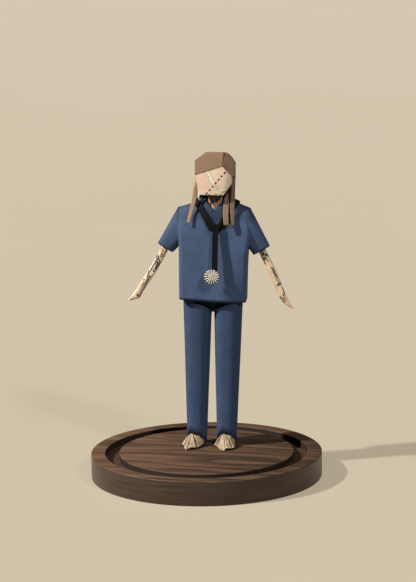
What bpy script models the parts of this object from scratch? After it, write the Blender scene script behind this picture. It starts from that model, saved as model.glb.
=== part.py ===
"""Folded paper figure in a blue tunic and trousers, standing on a turned walnut base.

The figure is modelled in its own frame: its origin is on top of the base between the ankles, it faces -Y,
and its own left side is at +X. An empty carries that frame and leans it slightly to the figure's left.
"""
import math

import bmesh
import bpy
from mathutils import Matrix, Vector

MM = 0.001
GAP = 0.3 * MM

# Turned walnut base with a ring groove that seats a glass dome.
BASE_RADIUS = 60.0 * MM
BASE_HEIGHT = 12.8 * MM
GROOVE_INNER = 45.4 * MM
GROOVE_OUTER = 52.6 * MM
GROOVE_DEPTH = 4.0 * MM
BASE_EDGE_ROUND = 1.2 * MM
GROOVE_EDGE_ROUND = 0.6 * MM
BASE_TURN_STEPS = 72

# Where the figure stands on the base, and how it leans.
FIGURE_X = 1.05 * MM
FIGURE_Y = 14.0 * MM
FIGURE_LEAN = math.radians(1.35)

# Paper and wire stock.
PAPER = 0.5 * MM
CARD = 0.8 * MM
STRIP_PAPER = 0.4 * MM
ROD_RADIUS = 0.8 * MM
WIRE_RADIUS = 0.45 * MM

# Trouser legs: a tapering tube on each side, cut on a slant over the instep.
LEG_BOTTOM_Z = 0.8 * MM
LEG_TOP_Z = 84.0 * MM
LEG_INNER_X = (2.75 * MM, 0.35 * MM)
LEG_OUTER_X = (12.9 * MM, 15.3 * MM)
LEG_HALF_DEPTH = (5.2 * MM, 6.7 * MM)
LEG_ROUNDNESS = 2.4
CUFF_FRONT_Z = 7.2 * MM
CUFF_BACK_Z = 1.0 * MM
ROD_X = 7.9 * MM
ROD_DEPTH_IN_BASE = 8.0 * MM
ROD_HOLE_TOP_Z = 12.0 * MM
LEG_SECTIONS = 7
LEG_SIDES = 24

# Small folded V between the tops of the legs.
GUSSET_BOTTOM_Z = 73.5 * MM
GUSSET_FRONT_Y = -4.3 * MM
GUSSET_HALF_WIDTH = 1.05 * MM
GUSSET_FOLD_DEPTH = 1.2 * MM
GUSSET_TAPER = 0.3

# Folded seat that joins the legs, and the card box that fills the tunic.
SEAT_HALF_WIDTH = 15.0 * MM
SEAT_HALF_DEPTH = 6.4 * MM
SEAT_BOTTOM_Z = LEG_TOP_Z + GAP
SEAT_TOP_Z = 97.0 * MM
CORE_HALF_WIDTH = 15.6 * MM
CORE_HALF_DEPTH = 7.3 * MM
CORE_TOP_Z = 117.0 * MM
BOX_CORNER = 2.2 * MM
SHOULDER_WIRE_Z = CORE_TOP_Z - 4.5 * MM

# Tunic: hem, shoulders and neckline.
HEM_Z = 78.0 * MM
HEM_HALF_WIDTH = 16.9 * MM
CHEST_HALF_WIDTH = 17.9 * MM
SHOULDER_HALF_WIDTH = 18.8 * MM
TUNIC_HALF_DEPTH = 8.6 * MM
TUNIC_CORNER = 3.4 * MM
SHOULDER_X = 19.2 * MM
SHOULDER_Z = 125.8 * MM
NECK_X = 0.8 * MM
NECKLINE_X = 1.1 * MM
NECKLINE_HALF_WIDTH = 4.3 * MM
NECKLINE_Z = 131.2 * MM
NECKLINE_V_Z = 126.1 * MM
NECKLINE_BACK_Z = 129.6 * MM
SHOULDER_ROLL = 16.0 * MM
SHOULDER_POWER = 2.4
ARMHOLE_BOTTOM_Z = 107.5 * MM
ARMHOLE_TOP_Z = 123.0 * MM
ARMHOLE_HALF_DEPTH = 3.6 * MM
PANEL_COLUMNS = 30
PANEL_ROWS = 15
PANEL_ROW_BUNCHING = 1.35
COLLAR_WIDTH = 1.7 * MM
COLLAR_LIFT = 1.9 * GAP

# Soft upright folds in the tunic front: where each lies, its half width and its depth.
FRONT_FOLDS = ((9.0 * MM, 2.6 * MM, 0.55 * MM), (-4.5 * MM, 4.5 * MM, 0.30 * MM))
FOLDS_TOP_Z = 122.0 * MM
FOLDS_FADE = 25.0 * MM
FOLDS_SPAN = 0.8

# Sleeves hang from the shoulder fold; the arms leave the cuffs at the same slope.
SLEEVE_TOP_X = SHOULDER_X + 0.45 * MM
SLEEVE_ARMPIT = Vector((18.4, 0.0, 106.0)) * MM
CUFF_OUTER = Vector((29.35, 0.0, 106.75)) * MM
CUFF_INNER = Vector((21.0, 0.0, 102.2)) * MM
CUFF_FORWARD = -1.5 * MM
SLEEVE_HALF_DEPTH = (5.0 * MM, 4.4 * MM)
SHOULDER_PIVOT = Vector((SHOULDER_X, 0.0, SHOULDER_Z))

# Head block: a folded paper box with a ridge between the front of the face and one cheek.
HEAD_LEFT_X = 8.8 * MM
HEAD_RIGHT_X = -7.35 * MM
HEAD_FRONT_Y = -8.2 * MM
HEAD_BACK_Y = 7.6 * MM
HEAD_TOP_Z = 154.7 * MM
HEAD_TOP_BACK = Vector((0.0, 4.4, 151.6)) * MM
CHIN_Z = 134.4 * MM
CHIN_HALF_WIDTH = 5.3 * MM
FACE_RIDGE_X = 5.2 * MM
CHEEK_BACK_Y = -4.6 * MM
FACE_TOP_Z = 149.4 * MM
FACE_GROW = GAP
HAIR_GROW = 2.2 * GAP + PAPER
HAIR_PAPER = 0.4 * MM
PARTING = Vector((4.95, 0.0, 149.0)) * MM
HAIR_SEAM_Y = 2.0 * MM
HAIR_BACK_FOLD_Z = 137.0 * MM
HAIR_BACK_END_Z = 123.0 * MM
HAIR_BACK_FLARE = 2.6 * MM
STRAND_STATIONS = 11

# Listening tube of black paper strip, with its pleated rosette.
STRAP_WIDTH = 3.0 * MM
STRAP_LIFT = 1.02 * MM
STRAP_STATIONS = 37
TAIL_LIFT = 1.75 * MM
TAIL_TILT = math.radians(3.0)
TAIL_X = 1.8 * MM
TAIL_TOP_Z = 114.9 * MM
TAIL_BOTTOM_Z = 89.4 * MM
KEEPER_TOP_Z = 119.2 * MM
ROSETTE_CENTRE = Vector((0.4, 0.0, 91.6)) * MM
ROSETTE_RADIUS = 4.25 * MM
ROSETTE_PLEATS = 16


def clear_scene():
    for item in list(bpy.data.objects):
        bpy.data.objects.remove(item, do_unlink=True)


def new_collection(name):
    collection = bpy.data.collections.new(name)
    bpy.context.scene.collection.children.link(collection)
    return collection


def finish(name, colour, roughness, metallic=0.0):
    material = bpy.data.materials.new(name)
    material.use_nodes = True
    shader = material.node_tree.nodes["Principled BSDF"]
    shader.inputs["Base Color"].default_value = (*colour, 1.0)
    shader.inputs["Roughness"].default_value = roughness
    shader.inputs["Metallic"].default_value = metallic
    return material


def add_empty(name, location, parent=None):
    empty = bpy.data.objects.new(name, None)
    empty.location = location
    empty.parent = parent
    FIGURE.objects.link(empty)
    return empty


def add_part(name, bm, material, frame=None, pivot=None):
    """Make an object of a mesh drawn in the figure's frame; a pivot becomes the object's origin."""
    if pivot is not None:
        bmesh.ops.translate(bm, vec=-pivot, verts=bm.verts)
    mesh = bpy.data.meshes.new(name)
    bm.to_mesh(mesh)
    bm.free()
    mesh.materials.append(material)
    part = bpy.data.objects.new(name, mesh)
    part.parent = frame
    FIGURE.objects.link(part)
    return part


def add_cutter(name, start, end, radius, frame=None):
    """A round bar from start to end that drills a hole, left out of the model itself."""
    axis = end - start
    bm = bmesh.new()
    bmesh.ops.create_cone(bm, cap_ends=True, segments=12, radius1=radius, radius2=radius, depth=axis.length)
    turn = Vector((0.0, 0.0, 1.0)).rotation_difference(axis).to_matrix().to_4x4()
    bm.transform(Matrix.Translation((start + end) / 2.0) @ turn)
    mesh = bpy.data.meshes.new(name)
    bm.to_mesh(mesh)
    bm.free()
    cutter = bpy.data.objects.new(name, mesh)
    cutter.parent = frame
    cutter.hide_render = True
    cutter.display_type = "WIRE"
    CUTTERS.objects.link(cutter)
    return cutter


def drill(part, cutter):
    hole = part.modifiers.new("hole", "BOOLEAN")
    hole.operation = "DIFFERENCE"
    hole.solver = "EXACT"
    hole.object = cutter


def thicken(part, thickness, offset):
    """Turn an open sheet into a closed wall; offset -1 grows inwards, 1 outwards and 0 both ways."""
    wall = part.modifiers.new("paper", "SOLIDIFY")
    wall.thickness = thickness
    wall.offset = offset
    wall.use_even_offset = True


def smooth(part, angle=40.0):
    part.data.shade_smooth()
    part.data.set_sharp_from_angle(angle=math.radians(angle))


def add_wire(name, points, radius, material, frame=None, pivot=None):
    """A straight or bent wire as a bevelled curve with filled caps."""
    curve = bpy.data.curves.new(name, "CURVE")
    curve.dimensions = "3D"
    curve.bevel_depth = radius
    curve.bevel_resolution = 2
    curve.use_fill_caps = True
    spline = curve.splines.new("POLY")
    spline.points.add(len(points) - 1)
    shift = pivot if pivot is not None else Vector()
    for knot, point in zip(spline.points, points):
        knot.co = (*(point - shift), 1.0)
    curve.materials.append(material)
    wire = bpy.data.objects.new(name, curve)
    wire.parent = frame
    FIGURE.objects.link(wire)
    return wire


def slice_off(bm, point, normal, close=True):
    """Cut away everything on the side the normal points to, and close the cut if asked."""
    geometry = bm.verts[:] + bm.edges[:] + bm.faces[:]
    cut = bmesh.ops.bisect_plane(
        bm, geom=geometry, dist=1e-7, plane_co=point, plane_no=normal, clear_outer=True
    )
    if close:
        rim = [item for item in cut["geom_cut"] if isinstance(item, bmesh.types.BMEdge)]
        bmesh.ops.holes_fill(bm, edges=rim, sides=0)


def crease(bm, point, normal):
    """Add a fold line where a plane crosses the sheet, without cutting it."""
    geometry = bm.verts[:] + bm.edges[:] + bm.faces[:]
    bmesh.ops.bisect_plane(bm, geom=geometry, dist=1e-7, plane_co=point, plane_no=normal)


def folded_block(size, cuts, grow=0.0):
    """A convex paper box: a cube cut by planes, each moved outwards by grow."""
    bm = bmesh.new()
    bmesh.ops.create_cube(bm, size=size)
    for point, normal in cuts:
        outward = normal.normalized()
        slice_off(bm, point + outward * grow, outward)
    return bm


def ring(bm, centre, first, second, roundness, count):
    """A closed loop of points on a superellipse with half axes first and second."""
    loop = []
    for step in range(count):
        angle = 2.0 * math.pi * step / count
        along = math.copysign(abs(math.cos(angle)) ** (2.0 / roundness), math.cos(angle))
        across = math.copysign(abs(math.sin(angle)) ** (2.0 / roundness), math.sin(angle))
        loop.append(bm.verts.new(centre + first * along + second * across))
    return [bm.edges.new((loop[step - 1], loop[step])) for step in range(count)]


def loft(sections, roundness, count):
    """A tube through sections, each a centre and two half axes."""
    bm = bmesh.new()
    loops = [ring(bm, *section, roundness, count) for section in sections]
    for lower, upper in zip(loops, loops[1:]):
        bmesh.ops.bridge_loops(bm, edges=lower + upper)
    bmesh.ops.recalc_face_normals(bm, faces=bm.faces)
    return bm


def ribbon(stations):
    """A flat strip through stations, each a point and half its width as a vector."""
    bm = bmesh.new()
    point, half = stations[0]
    ends = [bm.verts.new(point - half), bm.verts.new(point + half)]
    edge = bm.edges.new(ends)
    for point, half in stations[1:]:
        grown = bmesh.ops.extrude_edge_only(bm, edges=[edge])["geom"]
        edge = next(item for item in grown if isinstance(item, bmesh.types.BMEdge))
        near, far = edge.verts
        if near.link_edges[0].other_vert(near) is far:
            before = near.link_edges[1].other_vert(near)
        else:
            before = near.link_edges[0].other_vert(near)
        if before is not ends[0]:
            near, far = far, near
        near.co = point - half
        far.co = point + half
        ends = [near, far]
    bmesh.ops.recalc_face_normals(bm, faces=bm.faces)
    return bm


def spaced(start, end, count):
    return [start + (end - start) * step / (count - 1) for step in range(count)]


def blend(pair, share):
    return pair[0] + (pair[1] - pair[0]) * share


def mirrored(point, side):
    return Vector((point.x * side, point.y, point.z))


def fillet(corners, radii, steps=3):
    """Round the inner corners of a profile of (radius, height) points."""
    profile = [corners[0]]
    for before, corner, after, radius in zip(corners, corners[1:], corners[2:], radii):
        into = (corner - before).normalized()
        out = (after - corner).normalized()
        if radius == 0.0:
            profile.append(corner)
            continue
        for step in range(steps + 1):
            share = step / steps
            start = corner - into * radius
            end = corner + out * radius
            profile.append(start.lerp(corner, share).lerp(corner.lerp(end, share), share))
    profile.append(corners[-1])
    return profile


def make_base():
    top = BASE_HEIGHT
    floor = BASE_HEIGHT - GROOVE_DEPTH
    corners = [
        Vector((0.0, top)),
        Vector((GROOVE_INNER, top)),
        Vector((GROOVE_INNER, floor)),
        Vector((GROOVE_OUTER, floor)),
        Vector((GROOVE_OUTER, top)),
        Vector((BASE_RADIUS, top)),
        Vector((BASE_RADIUS, 0.0)),
        Vector((0.0, 0.0)),
    ]
    groove = GROOVE_EDGE_ROUND
    profile = fillet(corners, (groove, groove, groove, groove, BASE_EDGE_ROUND, BASE_EDGE_ROUND))
    bm = bmesh.new()
    points = [bm.verts.new((point.x, 0.0, point.y)) for point in profile]
    for upper, lower in zip(points, points[1:]):
        bm.edges.new((upper, lower))
    base = add_part("base", bm, WALNUT)
    turn = base.modifiers.new("turn", "SCREW")
    turn.axis = "Z"
    turn.steps = BASE_TURN_STEPS
    turn.render_steps = BASE_TURN_STEPS
    turn.use_merge_vertices = True
    turn.merge_threshold = 0.00001
    smooth(base)
    return base


def make_leg_rod(name, side, base):
    bottom = Vector((ROD_X * side, 0.0, -ROD_DEPTH_IN_BASE))
    top = Vector((ROD_X * side, 0.0, SEAT_TOP_Z - CARD - GAP))
    add_wire(name, [bottom, top], ROD_RADIUS, STEEL, FRAME)
    deep = bottom - Vector((0.0, 0.0, GAP))
    above = Vector((ROD_X * side, 0.0, ROD_HOLE_TOP_Z))
    cutter = add_cutter(name + "_hole", deep, above, ROD_RADIUS + GAP, FRAME)
    drill(base, cutter)
    return cutter


def fold_plane(inside, *corners):
    """The plane through three corners in millimetres, facing away from a point inside the fold."""
    first, second, third = (Vector(corner) * MM for corner in corners)
    normal = (second - first).cross(third - first).normalized()
    if normal.dot(inside - first) > 0.0:
        normal = -normal
    return first, normal


def make_foot(name, side, turn, cutter):
    """A folded paper shoe: a wedge with a ridge from the instep to one corner of its pointed, lifted toe."""
    inside = Vector((0.0, -5.0, 2.0)) * MM
    instep_right = (-2.2, -2.6, 6.7)
    instep_left = (1.2, -2.6, 6.7)
    toe = (-0.9, -13.4, 0.3)
    toe_top = (-0.9, -13.4, 0.9)
    right_corner = (-4.8, -10.6, 1.5)
    left_corner = (5.0, -10.5, 0.8)
    left_ridge = (5.0, -10.5, 1.5)
    heel_right = (-3.6, 2.2, 0.3)
    heel_left = (3.6, 2.2, 0.3)
    cuts = [
        (Vector((0.0, 0.0, GAP)), Vector((0.0, 0.0, -1.0))),
        (Vector(heel_left) * MM, Vector((0.0, 1.0, 0.0))),
        (Vector((0.0, 2.2, 3.0)) * MM, Vector((0.0, 0.80, 0.60))),
        (Vector((0.0, 0.0, 7.2)) * MM, Vector((0.0, 0.0, 1.0))),
        fold_plane(inside, instep_right, instep_left, toe_top),
        fold_plane(inside, instep_left, left_ridge, (4.8, -1.0, 2.9)),
        fold_plane(inside, instep_right, right_corner, (-5.0, -2.6, 1.0)),
        fold_plane(inside, toe, toe_top, right_corner),
        fold_plane(inside, toe, toe_top, left_corner),
        fold_plane(inside, toe, right_corner, (-4.6, -3.0, 0.3)),
        fold_plane(inside, toe, left_corner, (4.8, -4.0, 0.3)),
        fold_plane(inside, left_corner, left_ridge, (5.2, -2.0, 0.3)),
        fold_plane(inside, heel_left, (3.3, 2.2, 3.0), (5.0, -2.0, 0.3)),
        fold_plane(inside, heel_right, (-3.3, 2.2, 3.0), (-5.0, -2.0, 0.3)),
    ]
    bm = folded_block(60.0 * MM, cuts)
    place = FIGURE_PLACE + Vector((side * ROD_X, 0.0, 0.0))
    bm.transform(Matrix.Translation(place) @ Matrix.Rotation(turn, 4, "Z"))
    foot = add_part(name, bm, MAP_PAPER)
    drill(foot, cutter)


def make_leg(name, side):
    sections = []
    for z in spaced(LEG_BOTTOM_Z, LEG_TOP_Z, LEG_SECTIONS):
        share = (z - LEG_BOTTOM_Z) / (LEG_TOP_Z - LEG_BOTTOM_Z)
        inner = blend(LEG_INNER_X, share)
        outer = blend(LEG_OUTER_X, share)
        depth = blend(LEG_HALF_DEPTH, share)
        centre = Vector((side * (inner + outer) / 2.0, 0.0, z))
        half_width = Vector(((outer - inner) / 2.0, 0.0, 0.0))
        sections.append((centre, half_width, Vector((0.0, depth, 0.0))))
    bm = loft(sections, LEG_ROUNDNESS, LEG_SIDES)
    depth = LEG_HALF_DEPTH[0]
    slope = (CUFF_BACK_Z - CUFF_FRONT_Z) / (2.0 * depth)
    middle = Vector((0.0, 0.0, (CUFF_FRONT_Z + CUFF_BACK_Z) / 2.0))
    slice_off(bm, middle, Vector((0.0, slope, -1.0)), close=False)
    leg = add_part(name, bm, BLUE_PAPER, FRAME)
    thicken(leg, PAPER, -1.0)
    smooth(leg)


def open_box(half_width, half_depth, bottom, top, chamfer):
    """A folded card box with no floor."""
    middle = (bottom + top) / 2.0
    bm = bmesh.new()
    bmesh.ops.create_cube(bm, size=1.0)
    bmesh.ops.scale(bm, vec=(2.0 * half_width, 2.0 * half_depth, top - bottom), verts=bm.verts)
    bmesh.ops.translate(bm, vec=(0.0, 0.0, middle), verts=bm.verts)
    floor = [face for face in bm.faces if face.normal.z < -0.5]
    bmesh.ops.delete(bm, geom=floor, context="FACES")
    upright = [edge for edge in bm.edges if abs(edge.verts[0].co.z - edge.verts[1].co.z) > chamfer]
    bmesh.ops.bevel(
        bm, geom=upright, offset=chamfer, affect="EDGES", segments=2, profile=0.5, material=-1
    )
    return bm


def make_seat():
    bm = open_box(SEAT_HALF_WIDTH, SEAT_HALF_DEPTH, SEAT_BOTTOM_Z, SEAT_TOP_Z, BOX_CORNER)
    seat = add_part("trouser_seat", bm, BLUE_PAPER, FRAME)
    thicken(seat, CARD, -1.0)


def make_gusset():
    """The small folded V that closes the front between the tops of the legs."""
    top = SEAT_BOTTOM_Z - GAP
    valley = GUSSET_FRONT_Y + GUSSET_FOLD_DEPTH
    outline = [(-GUSSET_HALF_WIDTH, GUSSET_FRONT_Y), (0.0, valley), (GUSSET_HALF_WIDTH, GUSSET_FRONT_Y)]
    bm = bmesh.new()
    rim = [bm.verts.new((x, y, top)) for x, y in outline]
    edges = [bm.edges.new(pair) for pair in zip(rim, rim[1:])]
    grown = bmesh.ops.extrude_edge_only(bm, edges=edges)["geom"]
    for vert in (item for item in grown if isinstance(item, bmesh.types.BMVert)):
        vert.co = (vert.co.x * GUSSET_TAPER, vert.co.y + PAPER, GUSSET_BOTTOM_Z)
    gusset = add_part("trouser_gusset", bm, BLUE_PAPER, FRAME)
    thicken(gusset, STRIP_PAPER, 0.0)


def make_core(pin_cutter):
    bm = open_box(CORE_HALF_WIDTH, CORE_HALF_DEPTH, SEAT_TOP_Z + GAP, CORE_TOP_Z, BOX_CORNER)
    core = add_part("torso_core", bm, CARD_STOCK, FRAME)
    thicken(core, CARD, -1.0)
    reach = CHEST_HALF_WIDTH - PAPER
    ends = [Vector((-reach, 0.0, SHOULDER_WIRE_Z)), Vector((reach, 0.0, SHOULDER_WIRE_Z))]
    add_wire("shoulder_wire", ends, WIRE_RADIUS, STEEL, FRAME)
    wire_cutter = add_cutter("shoulder_wire_hole", ends[0], ends[1], WIRE_RADIUS + GAP, FRAME)
    drill(core, wire_cutter)
    drill(core, pin_cutter)


def crest_height(x):
    """Height of the shoulder fold, level across the neck opening and sloping out to the shoulder."""
    slope = (NECKLINE_Z - SHOULDER_Z) / (SHOULDER_X - NECKLINE_HALF_WIDTH)
    return NECKLINE_Z - slope * max(0.0, abs(x - NECKLINE_X) - NECKLINE_HALF_WIDTH)


def shoulder_roll(x, z):
    """How much of its depth the tunic keeps as it rolls in to the shoulder fold."""
    drop = min(1.0, max(0.0, (crest_height(x) - z) / SHOULDER_ROLL))
    return (1.0 - (1.0 - drop) ** SHOULDER_POWER) ** (1.0 / SHOULDER_POWER)


def front_wave(x, z):
    """Soft upright pleats in the front of the tunic, fading towards the shoulders."""
    fade = min(1.0, max(0.0, (FOLDS_TOP_Z - z) / FOLDS_FADE))
    return fade * sum(depth * math.exp(-((x - place) / width) ** 2) for place, width, depth in FRONT_FOLDS)


def tunic_half_width(z):
    if z < ARMHOLE_BOTTOM_Z:
        return blend((HEM_HALF_WIDTH, CHEST_HALF_WIDTH), (z - HEM_Z) / (ARMHOLE_BOTTOM_Z - HEM_Z))
    share = min(1.0, (z - ARMHOLE_BOTTOM_Z) / (SHOULDER_Z - ARMHOLE_BOTTOM_Z))
    return blend((CHEST_HALF_WIDTH, SHOULDER_HALF_WIDTH), share)


def section_point(half_width, travel):
    """Point on the rounded front of the tunic; travel runs from -1 at one side seam to 1 at the other."""
    flat = half_width - TUNIC_CORNER
    arc = TUNIC_CORNER * math.pi / 2.0
    side = TUNIC_HALF_DEPTH - TUNIC_CORNER
    run = abs(travel) * (flat + arc + side)
    if run <= flat:
        return math.copysign(run, travel), -TUNIC_HALF_DEPTH
    if run <= flat + arc:
        angle = (run - flat) / TUNIC_CORNER
        x = flat + TUNIC_CORNER * math.sin(angle)
        return math.copysign(x, travel), -side - TUNIC_CORNER * math.cos(angle)
    return math.copysign(half_width, travel), -side + (run - flat - arc)


def front_surface(x, z):
    """Outer face of the tunic front, away from its rounded sides."""
    return -TUNIC_HALF_DEPTH * shoulder_roll(x, z) + front_wave(x, z)


def make_tunic_panel(name, front):
    """One sheet from side seam to side seam, rolled in at the shoulders and cut at the neck and armholes."""
    bm = bmesh.new()
    bmesh.ops.create_grid(bm, x_segments=PANEL_COLUMNS, y_segments=PANEL_ROWS, size=1.0)
    for vert in bm.verts:
        travel = vert.co.x
        share = (vert.co.y + 1.0) / 2.0
        rise = 1.0 - (1.0 - share) ** PANEL_ROW_BUNCHING
        x, y = section_point(tunic_half_width(HEM_Z + rise * (SHOULDER_Z - HEM_Z)), travel)
        crest = crest_height(x)
        z = HEM_Z + rise * (crest - HEM_Z)
        y *= shoulder_roll(x, z)
        if front and abs(travel) < FOLDS_SPAN:
            y += front_wave(x, z)
        y = min(y, -GAP)
        vert.co = (x, y if front else -y, z)
    if front:
        cut_neckline(bm)
    else:
        slice_off(bm, Vector((0.0, 0.0, NECKLINE_BACK_Z)), Vector((0.0, 0.0, 1.0)), close=False)
    cut_armholes(bm)
    bmesh.ops.recalc_face_normals(bm, faces=bm.faces)
    point_outwards(bm, Vector((0.0, 0.0, 100.0 * MM)))
    panel = add_part(name, bm, BLUE_PAPER, FRAME)
    thicken(panel, PAPER, -1.0)
    smooth(panel)


def point_outwards(bm, centre):
    """Turn the sheet's faces over if they look towards the given point."""
    vote = sum(face.normal.dot(face.calc_center_median() - centre) for face in bm.faces)
    if vote < 0.0:
        bmesh.ops.reverse_faces(bm, faces=bm.faces)


def neckline_planes():
    foot = Vector((NECKLINE_X, 0.0, NECKLINE_V_Z))
    rise = NECKLINE_Z - NECKLINE_V_Z
    run = NECKLINE_HALF_WIDTH
    return foot, Vector((rise, 0.0, run)), Vector((-rise, 0.0, run))


def cut_neckline(bm):
    foot, left, right = neckline_planes()
    crease(bm, foot, left)
    crease(bm, foot, right)
    inside = []
    for face in bm.faces:
        offset = face.calc_center_median() - foot
        if offset.dot(left) > 0.0 and offset.dot(right) > 0.0:
            inside.append(face)
    bmesh.ops.delete(bm, geom=inside, context="FACES")


def cut_armholes(bm):
    up = Vector((0.0, 0.0, 1.0))
    crease(bm, up * ARMHOLE_BOTTOM_Z, up)
    crease(bm, up * ARMHOLE_TOP_Z, up)
    crease(bm, Vector((0.0, -ARMHOLE_HALF_DEPTH, 0.0)), Vector((0.0, 1.0, 0.0)))
    crease(bm, Vector((0.0, ARMHOLE_HALF_DEPTH, 0.0)), Vector((0.0, 1.0, 0.0)))
    inside = []
    for face in bm.faces:
        spot = face.calc_center_median()
        beside = abs(spot.x) > CHEST_HALF_WIDTH - TUNIC_CORNER and abs(spot.y) < ARMHOLE_HALF_DEPTH
        if beside and ARMHOLE_BOTTOM_Z < spot.z < ARMHOLE_TOP_Z:
            inside.append(face)
    bmesh.ops.delete(bm, geom=inside, context="FACES")


def make_collar(name, side):
    """A folded facing band along one edge of the V neck, laid on the tunic front."""
    foot, left, right = neckline_planes()
    outward = (right if side > 0.0 else left).normalized() * -1.0
    along = Vector((side * NECKLINE_HALF_WIDTH, 0.0, NECKLINE_Z - NECKLINE_V_Z))
    first = 0.38 if side > 0.0 else 0.04
    stations = []
    for share in spaced(first, 0.86, 6):
        middle = foot + along * share + outward * (COLLAR_WIDTH / 2.0 + 0.1 * MM)
        inner = middle - outward * (COLLAR_WIDTH / 2.0)
        outer = middle + outward * (COLLAR_WIDTH / 2.0)
        inner.y = front_surface(inner.x, inner.z) - COLLAR_LIFT
        outer.y = front_surface(outer.x, outer.z) - COLLAR_LIFT
        stations.append(((inner + outer) / 2.0, (outer - inner) / 2.0))
    bm = ribbon(stations)
    point_outwards(bm, Vector((NECK_X, 0.0, 120.0 * MM)))
    collar = add_part(name, bm, BLUE_PAPER, FRAME)
    thicken(collar, STRIP_PAPER, 1.0)


def make_sleeve(name, side, frame, pivot):
    top = Vector((SLEEVE_TOP_X, 0.0, SHOULDER_Z - 0.1 * MM))
    sections = []
    for share in spaced(0.0, 1.0, 4):
        forward = Vector((0.0, CUFF_FORWARD * share, 0.0))
        upper = mirrored(top.lerp(CUFF_OUTER, share), side)
        lower = mirrored(SLEEVE_ARMPIT.lerp(CUFF_INNER, share), side)
        depth = Vector((0.0, blend(SLEEVE_HALF_DEPTH, share), 0.0))
        sections.append(((upper + lower) / 2.0 + forward, (upper - lower) / 2.0, depth))
    bm = loft(sections, 2.2, 20)
    sleeve = add_part(name, bm, BLUE_PAPER, frame, pivot)
    sleeve.location = pivot
    thicken(sleeve, PAPER, -1.0)
    smooth(sleeve)


def make_arm(name, side, knots, frame, pivot):
    """A flattened paper roll that tapers to the wrist, with its hand folded to a point."""
    sections = []
    for index, (centre, half_width, half_depth) in enumerate(knots):
        before = knots[max(index - 1, 0)][0]
        after = knots[min(index + 1, len(knots) - 1)][0]
        along = (after - before).normalized()
        across = Vector((-along.z, 0.0, along.x)) * half_width
        sections.append((mirrored(centre, side), mirrored(across, side), Vector((0.0, half_depth, 0.0))))
    bm = loft(sections, 1.6, 12)
    tip = [edge for edge in bm.edges if edge.is_boundary and min(v.co.z for v in edge.verts) < 85.0 * MM]
    bmesh.ops.holes_fill(bm, edges=tip, sides=0)
    arm = add_part(name, bm, MAP_PAPER, frame, pivot)
    arm.location = pivot
    thicken(arm, PAPER, -1.0)
    smooth(arm, 50.0)
    upper, lower = knots[0][0], knots[1][0]
    points = [Vector((20.3, 0.0, 112.2)) * MM, upper.lerp(lower, 0.03), upper.lerp(lower, 0.96)]
    wire = add_wire(name + "_wire", [mirrored(p, side) for p in points], WIRE_RADIUS, STEEL, frame, pivot)
    wire.location = pivot


def make_neck(pin_bottom, pin_top):
    """A folded tube with a crease down its front, round the pin that carries the head."""
    centre = Vector((NECK_X, 0.2 * MM, 0.0))
    sections = []
    for z, half_width, half_depth in ((117.3, 4.4, 4.2), (126.0, 3.7, 3.6), (133.2, 3.5, 3.6)):
        middle = centre + Vector((0.0, 0.0, z * MM))
        sections.append((middle, Vector((half_width * MM, 0.0, 0.0)), Vector((0.0, half_depth * MM, 0.0))))
    bm = loft(sections, 1.35, 12)
    neck = add_part("neck", bm, MAP_PAPER, FRAME)
    thicken(neck, PAPER, -1.0)
    add_wire("neck_pin", [pin_bottom, pin_top], ROD_RADIUS, STEEL, FRAME)


def head_cuts():
    """Planes of the folded head, each a point on the plane and its outward direction."""
    cheek = Vector((HEAD_LEFT_X - FACE_RIDGE_X, CHEEK_BACK_Y - HEAD_FRONT_Y, 0.0))
    jaw_x = 8.7 * MM
    return [
        (Vector((0.0, HEAD_FRONT_Y, 0.0)), Vector((0.0, -1.0, 0.0))),
        (Vector((FACE_RIDGE_X, HEAD_FRONT_Y, 0.0)), Vector((cheek.y, -cheek.x, 0.0))),
        (Vector((HEAD_LEFT_X, 0.0, 0.0)), Vector((1.0, 0.0, 0.0))),
        (Vector((HEAD_RIGHT_X, 0.0, 0.0)), Vector((-1.0, 0.0, 0.0))),
        (Vector((0.0, HEAD_BACK_Y, 0.0)), Vector((0.0, 1.0, 0.0))),
        (Vector((HEAD_LEFT_X, 4.6 * MM, 0.0)), Vector((1.0, 1.3, 0.0))),
        (Vector((HEAD_RIGHT_X, 4.6 * MM, 0.0)), Vector((-1.0, 1.3, 0.0))),
        (Vector((0.0, HEAD_FRONT_Y, HEAD_TOP_Z)), Vector((0.0, 0.24, 0.97))),
        (Vector((-2.1, -9.9, 155.4)) * MM, Vector((-0.605, 0.15, 0.78))),
        (Vector((5.5, -9.9, 155.5)) * MM, Vector((0.723, 0.131, 0.679))),
        (HEAD_TOP_BACK, Vector((0.0, 0.75, 0.66))),
        (Vector((0.0, 0.0, CHIN_Z)), Vector((0.0, 0.0, -1.0))),
        (Vector((-CHIN_HALF_WIDTH, 0.0, CHIN_Z)), Vector((-0.967, 0.0, -0.256))),
        (Vector((jaw_x, 0.0, 140.0 * MM)), Vector((0.833, 0.0, -0.553))),
        (Vector((0.0, 6.0 * MM, CHIN_Z)), Vector((0.0, 0.6, -0.8))),
    ]


def head_block(grow):
    return folded_block(400.0 * MM, head_cuts(), grow)


def make_head(pin_cutter):
    core = add_part("head_core", head_block(0.0), CARD_STOCK, HEAD, HEAD_PIVOT)
    drill(core, pin_cutter)
    bm = head_block(FACE_GROW)
    slice_off(bm, Vector((0.0, -2.0 * MM, 0.0)), Vector((0.0, 1.0, 0.0)), close=False)
    slice_off(bm, Vector((0.0, 0.0, FACE_TOP_Z)), Vector((0.0, 0.0, 1.0)), close=False)
    face = add_part("face", bm, MAP_PAPER, HEAD, HEAD_PIVOT)
    thicken(face, PAPER, 1.0)


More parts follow.
